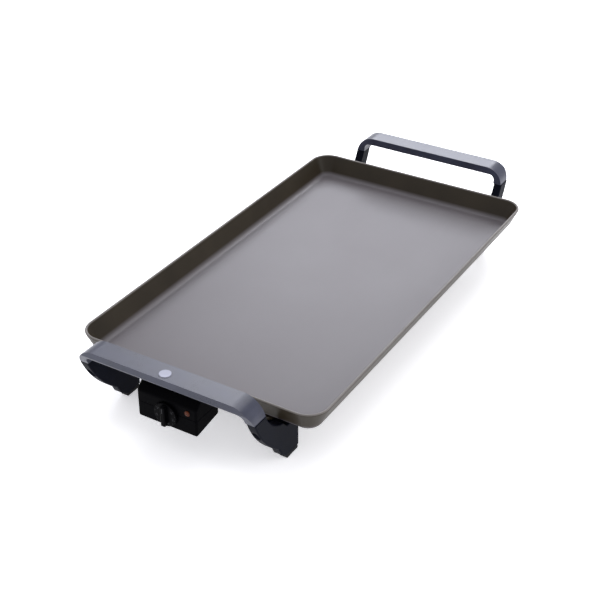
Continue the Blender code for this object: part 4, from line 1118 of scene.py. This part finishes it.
def folded_guard():
    """The guard's box, its two screwed ears, and its holes."""
    bm = box_between((-GUARD_HALF_WIDTH, guard_low.y, guard_low.z),
                     (GUARD_HALF_WIDTH, GUARD_BACK, guard_high.z))
    front = [f for f in bm.faces if f.calc_center_median().y < guard_low.y + WELD]
    bmesh.ops.delete(bm, geom=front, context="FACES_ONLY")
    round_edges(bm, [e for e in bm.edges if not e.is_boundary], FOLD, 3)
    bmesh.ops.recalc_face_normals(bm, faces=bm.faces)
    bmesh.ops.solidify(bm, geom=bm.faces[:], thickness=GUARD_SHEET)
    for side in (-1, 1):
        across = sorted((side * (GUARD_HALF_WIDTH - GUARD_SHEET / 2), side * guard_high.x))
        ear = box_between((across[0], GUARD_BACK - 3 * GUARD_SHEET, tab_top - GUARD_SHEET),
                          (across[1], guard_high.y, tab_top))
        bm = boolean(bm, ear, "UNION")
    screws = [middle_of(f"{name}_guard_screw") for name, _ in SIDES]
    screw_holes = standing(screws, tab_top - 4 * GUARD_SHEET, tab_top + 2 * GUARD_SHEET)
    bm = drill(bm, SCREW_RADIUS + FIT, screw_holes)
    through = (GUARD_BACK - 2 * GUARD_SHEET, GUARD_BACK + GUARD_SHEET)
    beads = [[(side * terminal.x, y, terminal.z) for y in through] for _, side in SIDES]
    bm = drill(bm, turned_size("right_terminal_bead")[0] + FIT, beads, 32)
    return drill(bm, WELL_BORE, [[(0.0, y, terminal.z) for y in through]], 32)


finish_piece(folded_guard(), "folded_terminal_guard", ZINC_SHEET, "terminal_guard")
print("guard opening (mm):", round(2000 * (GUARD_HALF_WIDTH - GUARD_SHEET)), "wide")

# %% [markdown]
# ## The heat control's case
# The plug-in control is a black plastic case in two halves, closed by two screws from below. Its top front
# edge is cut off by a slanting facet and its belly rises towards the tray. Both halves come from one rounded
# solid and a smaller hollow inside it. Each half keeps one side of the parting plane, and a bridge between
# the outer and the inner outline closes the wall. A fine rounding of the rim leaves the thin groove that
# shows where the halves meet.

# %% Solid and hollow of the case
CASE_WALL = 0.002
CASE_EDGE = 0.0024
CASE_FACET = 0.0085
BELLY_RISE = 0.006
SEAM_EDGE = 0.0004
upper_low, upper_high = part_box("control_case_upper")
lower_low, lower_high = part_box("control_case_lower")
case_split = (upper_low.z + lower_high.z) / 2


def case_outline(inset):
    """(y, z) round the case, moved in by an inset."""
    front = upper_low.y + inset
    back = upper_high.y - inset
    top = upper_high.z - inset
    bottom = lower_low.z + inset
    return [(front, bottom), (back, bottom + BELLY_RISE), (back, top), (front + CASE_FACET, top),
            (front, top - CASE_FACET)]


def case_block(inset):
    """The case's outer solid, or with an inset its hollow."""
    half = upper_high.x - inset
    along_x = Matrix(((0, 0, 1, -half), (1, 0, 0, 0), (0, 1, 0, 0), (0, 0, 0, 1)))
    return extruded(case_outline(inset), 2 * half, along_x)


# %% Cut the case into halves
def half_shell(keep_top):
    """One half of the case as a wall with its rim closed."""
    bm = case_block(0.0)
    round_edges(bm, sharp_edges(bm, 5), CASE_EDGE, 6)
    hollow = case_block(CASE_WALL)
    bmesh.ops.reverse_faces(hollow, faces=hollow.faces)
    bm.from_mesh(as_mesh(hollow, "case_hollow"))
    rim = case_split + (FIT / 2 if keep_top else -FIT / 2)
    bmesh.ops.bisect_plane(bm, geom=everything(bm), dist=WELD, plane_co=(0.0, 0.0, rim),
                           plane_no=(0.0, 0.0, 1.0), clear_inner=keep_top, clear_outer=not keep_top)
    bmesh.ops.bridge_loops(bm, edges=[e for e in bm.edges if e.is_boundary])
    bmesh.ops.recalc_face_normals(bm, faces=bm.faces)
    deep = upper_high.x - CASE_WALL / 2
    middle_y = (upper_low.y + upper_high.y) / 2
    half_y = (upper_high.y - upper_low.y - CASE_WALL) / 2
    outside = [e for e in bm.edges if all(abs(v.co.z - rim) < WELD for v in e.verts)
               and all(abs(v.co.x) > deep or abs(v.co.y - middle_y) > half_y for v in e.verts)]
    round_edges(bm, outside, SEAM_EDGE, 2)
    return bm


# %% Posts, nose and holes
POST_RADIUS = 0.0036
NOSE_HALF_WIDTH = 0.0205
NOSE_HEIGHTS = (0.0375, 0.0460)
NOSE_EDGE = 0.0010
CASE_SCREW_SEAT = 0.0430
CASE_SCREW_RECESS = 0.0030
LENS_HOLE = 0.0027
PIN_HOLE = 0.0033
PROBE_HOLE = 0.0031
GLAND_HOLE = 0.0048
dial_middle = middle_of("temperature_dial")
gland_middle = middle_of("cord_gland")
case_screws = [middle_of(f"{name}_case_screw") for name, _ in SIDES]
shaft_radius, _ = turned_size("dial_shaft")


def posts(low, high):
    """The two screw posts in one half of the case."""
    return rods(POST_RADIUS, standing(case_screws, low, high))


def drill_face(bm, x, z, radius):
    """A half of the case with a hole through its front face."""
    return drill(bm, radius, [((x, upper_low.y - CASE_WALL, z), (x, upper_low.y + 2 * CASE_WALL, z))], 32)


def upper_half():
    """The upper half, with the lamp's hole and its half of the shaft's."""
    bm = boolean(half_shell(True), posts(case_split + FIT / 2, upper_high.z - CASE_WALL / 2), "UNION")
    lens = middle_of("pilot_lens")
    bm = drill_face(bm, lens.x, lens.z, LENS_HOLE)
    bm = drill_face(bm, 0.0, dial_middle.z, shaft_radius + FIT)
    screw_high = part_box("left_case_screw")[1].z
    return drill(bm, SCREW_RADIUS + FIT, standing(case_screws, case_split - FIT, screw_high + FIT))


def lower_half():
    """The lower half, with the nose that plugs into the guard."""
    belly = lower_low.z + BELLY_RISE
    bm = boolean(half_shell(False), posts(belly, case_split - FIT / 2), "UNION")
    nose = box_between((-NOSE_HALF_WIDTH, upper_high.y - 2 * CASE_WALL, NOSE_HEIGHTS[0]),
                       (NOSE_HALF_WIDTH, lower_high.y, NOSE_HEIGHTS[1]))
    round_edges(nose, [e for e in nose.edges if abs(e.verts[0].co.y - e.verts[1].co.y) > WELD], NOSE_EDGE, 4)
    bm = boolean(bm, nose, "UNION")
    for x, radius in ((-terminal.x, PIN_HOLE), (terminal.x, PIN_HOLE), (0.0, PROBE_HOLE)):
        bore = [(x, y, terminal.z) for y in (upper_high.y - 3 * CASE_WALL, lower_high.y + CASE_WALL)]
        bm = drill(bm, radius, [bore], 32)
    through = (-upper_high.x - CASE_WALL, -upper_high.x + 2 * CASE_WALL)
    bm = drill(bm, GLAND_HOLE, [[(x, gland_middle.y, gland_middle.z) for x in through]], 32)
    bm = drill_face(bm, 0.0, dial_middle.z, shaft_radius + FIT)
    bm = drill(bm, SCREW_RADIUS + FIT, standing(case_screws, CASE_SCREW_SEAT - FIT, case_split + FIT))
    return drill(bm, CASE_SCREW_RECESS, standing(case_screws, lower_low.z - FIT, CASE_SCREW_SEAT), 28)


finish_piece(upper_half(), "case_upper_half", CASE_BLACK, "control_case_upper")
finish_piece(lower_half(), "case_lower_half", CASE_BLACK, "control_case_lower")
print("case width (mm):", round(2000 * upper_high.x))

# %% [markdown]
# ## The dial
# The temperature dial is a shallow skirt with a fluted rim, and a tapered bar to turn it by. The skirt is a
# turned profile, and pulling every few points of its rim inwards gives the flutes. The scale is generic:
# plain numbers and ticks, raised a tenth of a millimetre, in a grey that stays quiet on the black.

# %% Skirt and bar
SKIRT = 0.0030
BORE_DEPTH = 0.0053
BAR_TAPER = (0.88, 0.95, 1.0)
SKIRT_EDGE = 0.0009
FLUTES = 30
FLUTE_DEPTH = 0.00035
BAR_WIDTH = 0.0059
BAR_LENGTH = 0.0252
BAR_EDGE = 0.0011
dial_radius, dial_depth = turned_size("temperature_dial")
dial_place = facing_front("temperature_dial")


def fluted_dial():
    """The dial in its own frame, face up, then laid on the case's front."""
    edge = arc((dial_radius - SKIRT_EDGE, SKIRT - SKIRT_EDGE), SKIRT_EDGE, pi / 2, 0.0, 5)
    flat = [(0.0, SKIRT)] + edge + [(dial_radius, 0.0), (0.0, 0.0)]
    bm = turned(flat, Matrix(), 8 * FLUTES)
    for vert in bm.verts:
        radius = vert.co.to_2d().length
        if radius > dial_radius - SKIRT_EDGE / 2:
            wave = 0.5 - 0.5 * cos(FLUTES * atan2(vert.co.y, vert.co.x))
            pull_in = 1.0 - FLUTE_DEPTH * wave / radius
            vert.co.x *= pull_in
            vert.co.y *= pull_in
    bar = box_between((-BAR_WIDTH / 2, -BAR_LENGTH / 2, SKIRT / 2),
                      (BAR_WIDTH / 2, BAR_LENGTH / 2, dial_depth))
    bmesh.ops.scale(bar, vec=BAR_TAPER, verts=[v for v in bar.verts if v.co.z > SKIRT])
    round_edges(bar, bar.edges[:], BAR_EDGE, 5)
    bm = boolean(bm, bar, "UNION")
    bm = drill(bm, shaft_radius + FIT, [((0.0, 0.0, -SKIRT), (0.0, 0.0, BORE_DEPTH))])
    bmesh.ops.transform(bm, matrix=dial_place, verts=bm.verts)
    return bm


finish_piece(fluted_dial(), "fluted_dial", DIAL_BLACK, "temperature_dial")
print("dial radius (mm):", round(1000 * dial_radius, 1))

# %% Scale on the dial
SCALE_NUMBERS = ("150", "200", "250", "300", "350", "400")
SCALE_START = radians(55)   # clockwise from the top
SCALE_STEP = radians(50)
NUMBER_HEIGHT = 0.0022
NUMBER_RADIUS = 0.0101
TICK_RADII = (0.0119, 0.0128)
TICK_WIDTH = 0.0004
MARK_RAISE = 0.0001
POINTER_WIDTH = 0.0007
POINTER_LENGTH = 0.0060
POINTER_PLACE = 0.30        # the pointer's middle, as a share of the bar's length


def add_number(bm, text, angle):
    """A raised number, upright when it is turned to the top."""
    curve = bpy.data.curves.new("dial_number", "FONT")
    curve.body = text
    curve.align_x = "CENTER"
    curve.align_y = "CENTER"
    curve.size = NUMBER_HEIGHT
    curve.extrude = MARK_RAISE / 2
    curve.resolution_u = 3
    thing = add_object("dial_number", curve)
    mesh = bpy.data.meshes.new_from_object(thing.evaluated_get(bpy.context.evaluated_depsgraph_get()))
    bpy.data.objects.remove(thing, do_unlink=True)
    mesh.transform(dial_place @ Matrix.Rotation(-angle, 4, "Z")
                   @ Matrix.Translation((0.0, NUMBER_RADIUS, SKIRT + MARK_RAISE / 2)))
    bm.from_mesh(mesh)


def add_mark(bm, place, width, length):
    """A raised bar on the dial."""
    size = Matrix.Diagonal((width, length, 2 * MARK_RAISE, 1.0))
    bmesh.ops.create_cube(bm, size=1.0, matrix=dial_place @ place @ size)


marks = bmesh.new()
for step, text in enumerate(SCALE_NUMBERS):
    add_number(marks, text, SCALE_START + step * SCALE_STEP)
for half_step in range(2 * len(SCALE_NUMBERS) - 1):
    turn = Matrix.Rotation(-(SCALE_START + half_step * SCALE_STEP / 2), 4, "Z")
    tick = Matrix.Translation((0.0, sum(TICK_RADII) / 2, SKIRT))
    add_mark(marks, turn @ tick, TICK_WIDTH, TICK_RADII[1] - TICK_RADII[0])
pointer = Matrix.Translation((0.0, BAR_LENGTH * POINTER_PLACE, dial_depth))
add_mark(marks, pointer, POINTER_WIDTH, POINTER_LENGTH)
finish_piece(marks, "dial_scale", DIAL_MARKS, "temperature_dial")
print("numbers on the dial:", len(SCALE_NUMBERS))

# %% [markdown]
# ## Lamp, gland, probe and sleeves
# These are small turned parts. The lens is a low dome with a flange, the gland is a ribbed rubber collar
# round the hole for the cord, the probe is a long rounded rod, and the two sleeves are brass tubes that
# slide over the terminal pins when the control is plugged in.

# %% Lens and gland
LENS_NECK = 0.0024
lens_radius, lens_depth = turned_size("pilot_lens")
lens_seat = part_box("pilot_lens")[1].y - upper_low.y + FIT       # from the lens's back to its flange
dome = [(lens_radius * sin(a), lens_seat + (lens_depth - lens_seat) * cos(a)) for a in quarter()]
profile = dome + [(LENS_NECK, lens_seat), (LENS_NECK, 0.0), (0.0, 0.0)]
finish_piece(turned(profile, facing_front("pilot_lens"), 40), "domed_lens", AMBER, "pilot_lens")

GLAND_BORE = 0.0033
GLAND_NECK = 0.0045
GLAND_RIBS = 3
GLAND_FLANGE = FIT + 0.0009     # from the case's side to the front of the flange
GLAND_MOUTH = 0.0003            # the chamfer at the bore's mouth
RIB_TAPER = 0.0004              # each rib is this much lower than the last
# down from a rib's top as a share of its length, and in from its crest
RIB_SHAPE = ((0.0, 0.0005), (0.25, 0.0), (0.55, 0.0), (0.80, 0.0007))
gland_low, gland_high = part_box("cord_gland")
gland_radius = (gland_high.y - gland_low.y) / 2
gland_length = -gland_low.x - upper_high.x
rib = (gland_length - GLAND_FLANGE) / GLAND_RIBS
mouth = (GLAND_BORE + GLAND_MOUTH, gland_length)
profile = [mouth]
for number in range(GLAND_RIBS, 0, -1):
    top = GLAND_FLANGE + number * rib
    crest = gland_radius - RIB_TAPER * number
    profile += [(crest - inset, top - share * rib) for share, inset in RIB_SHAPE]
profile += [(gland_radius, GLAND_FLANGE), (gland_radius, FIT), (GLAND_NECK, FIT), (GLAND_NECK, -CASE_WALL)]
profile += [(GLAND_BORE, -CASE_WALL), (GLAND_BORE, gland_length - GLAND_MOUTH), mouth]
on_side = Matrix.Translation((-upper_high.x, gland_middle.y, gland_middle.z))
gland_place = on_side @ Matrix.Rotation(-pi / 2, 4, "Y")
finish_piece(turned(profile, gland_place, 40), "ribbed_cord_gland", RUBBER, "cord_gland")
print("gland length (mm):", round(1000 * gland_length, 1))

# %% Probe and sleeves
probe_radius, probe_length = turned_size("probe_rod")
tip = arc((0.0, probe_radius), probe_radius, 0.0, -pi / 2, 8)
profile = [(0.0, probe_length), (probe_radius, probe_length)] + tip
finish_piece(turned(profile, facing_front("probe_rod"), 32), "rounded_probe", STAINLESS, "probe_rod")

SLEEVE_BORE = 0.0023
SLEEVE_FLOOR = 0.0020
SLEEVE_FLARE = 0.0002
for side_name, _ in SIDES:
    node = f"{side_name}_contact_sleeve"
    radius, length = turned_size(node)
    blind_end = length - SLEEVE_FLOOR
    profile = [(0.0, length), (radius, length), (radius, SLEEVE_FLARE), (radius - SLEEVE_FLARE, 0.0)]
    profile += [(SLEEVE_BORE + SLEEVE_FLARE, 0.0), (SLEEVE_BORE, SLEEVE_FLARE)]
    profile += [(SLEEVE_BORE, blind_end), (0.0, blind_end)]
    finish_piece(turned(profile, facing_front(node), 32), f"{side_name}_brass_sleeve", BRASS, node)
print("probe length (mm):", round(1000 * probe_length, 1))

# %% [markdown]
# ## Parts that keep their CAD shape
# The thermostat's plates, blades, shaft and bulb are hidden inside the case, and their plain CAD shapes are
# right as they are. They only need a finish of their own in place of the CAD colour.

# %% Finish the hidden parts
HIDDEN_FINISHES = {
    "thermostat_frame": ZINC_SHEET,
    "ceramic_block": CERAMIC,
    "bimetal_blade": BRASS,
    "contact_blade": STAINLESS,
    "dial_shaft": STAINLESS,
    "pilot_bulb": GLASS,
}
for node, material in HIDDEN_FINISHES.items():
    part = frame["nodes"][node]
    part.data.materials.clear()
    part.data.materials.append(material)
print("hidden parts finished:", len(HIDDEN_FINISHES))

# %% [markdown]
# ## The floor
# The floor is a wide plane with a matt, slightly uneven white.

# %% Floor
def make_table_white():
    """A matt white with a very slight mottle."""
    material, tree, shader = new_finish("table_white", specular=0.2)
    mottle = grain(tree, 0.40, 2.0)
    tree.links.new(ramp(tree, mottle, 0.3, (0.90, 0.90, 0.90), 0.7, (0.92, 0.92, 0.92)),
                   shader.inputs["Base Color"])
    shader.inputs["Roughness"].default_value = 0.7
    shader.inputs["Emission Color"].default_value = (*SKY, 1.0)
    shader.inputs["Emission Strength"].default_value = TABLE_GLOW
    return material


table = bmesh.new()
bmesh.ops.create_grid(table, x_segments=1, y_segments=1, size=FLOOR_SIZE / 2,
                      matrix=Matrix.Translation((0.0, 0.0, -FLOOR_DROP)))
floor = add_object("table", as_mesh(table, "table"))
floor.data.materials.append(make_table_white())
print("floor (m):", FLOOR_SIZE)
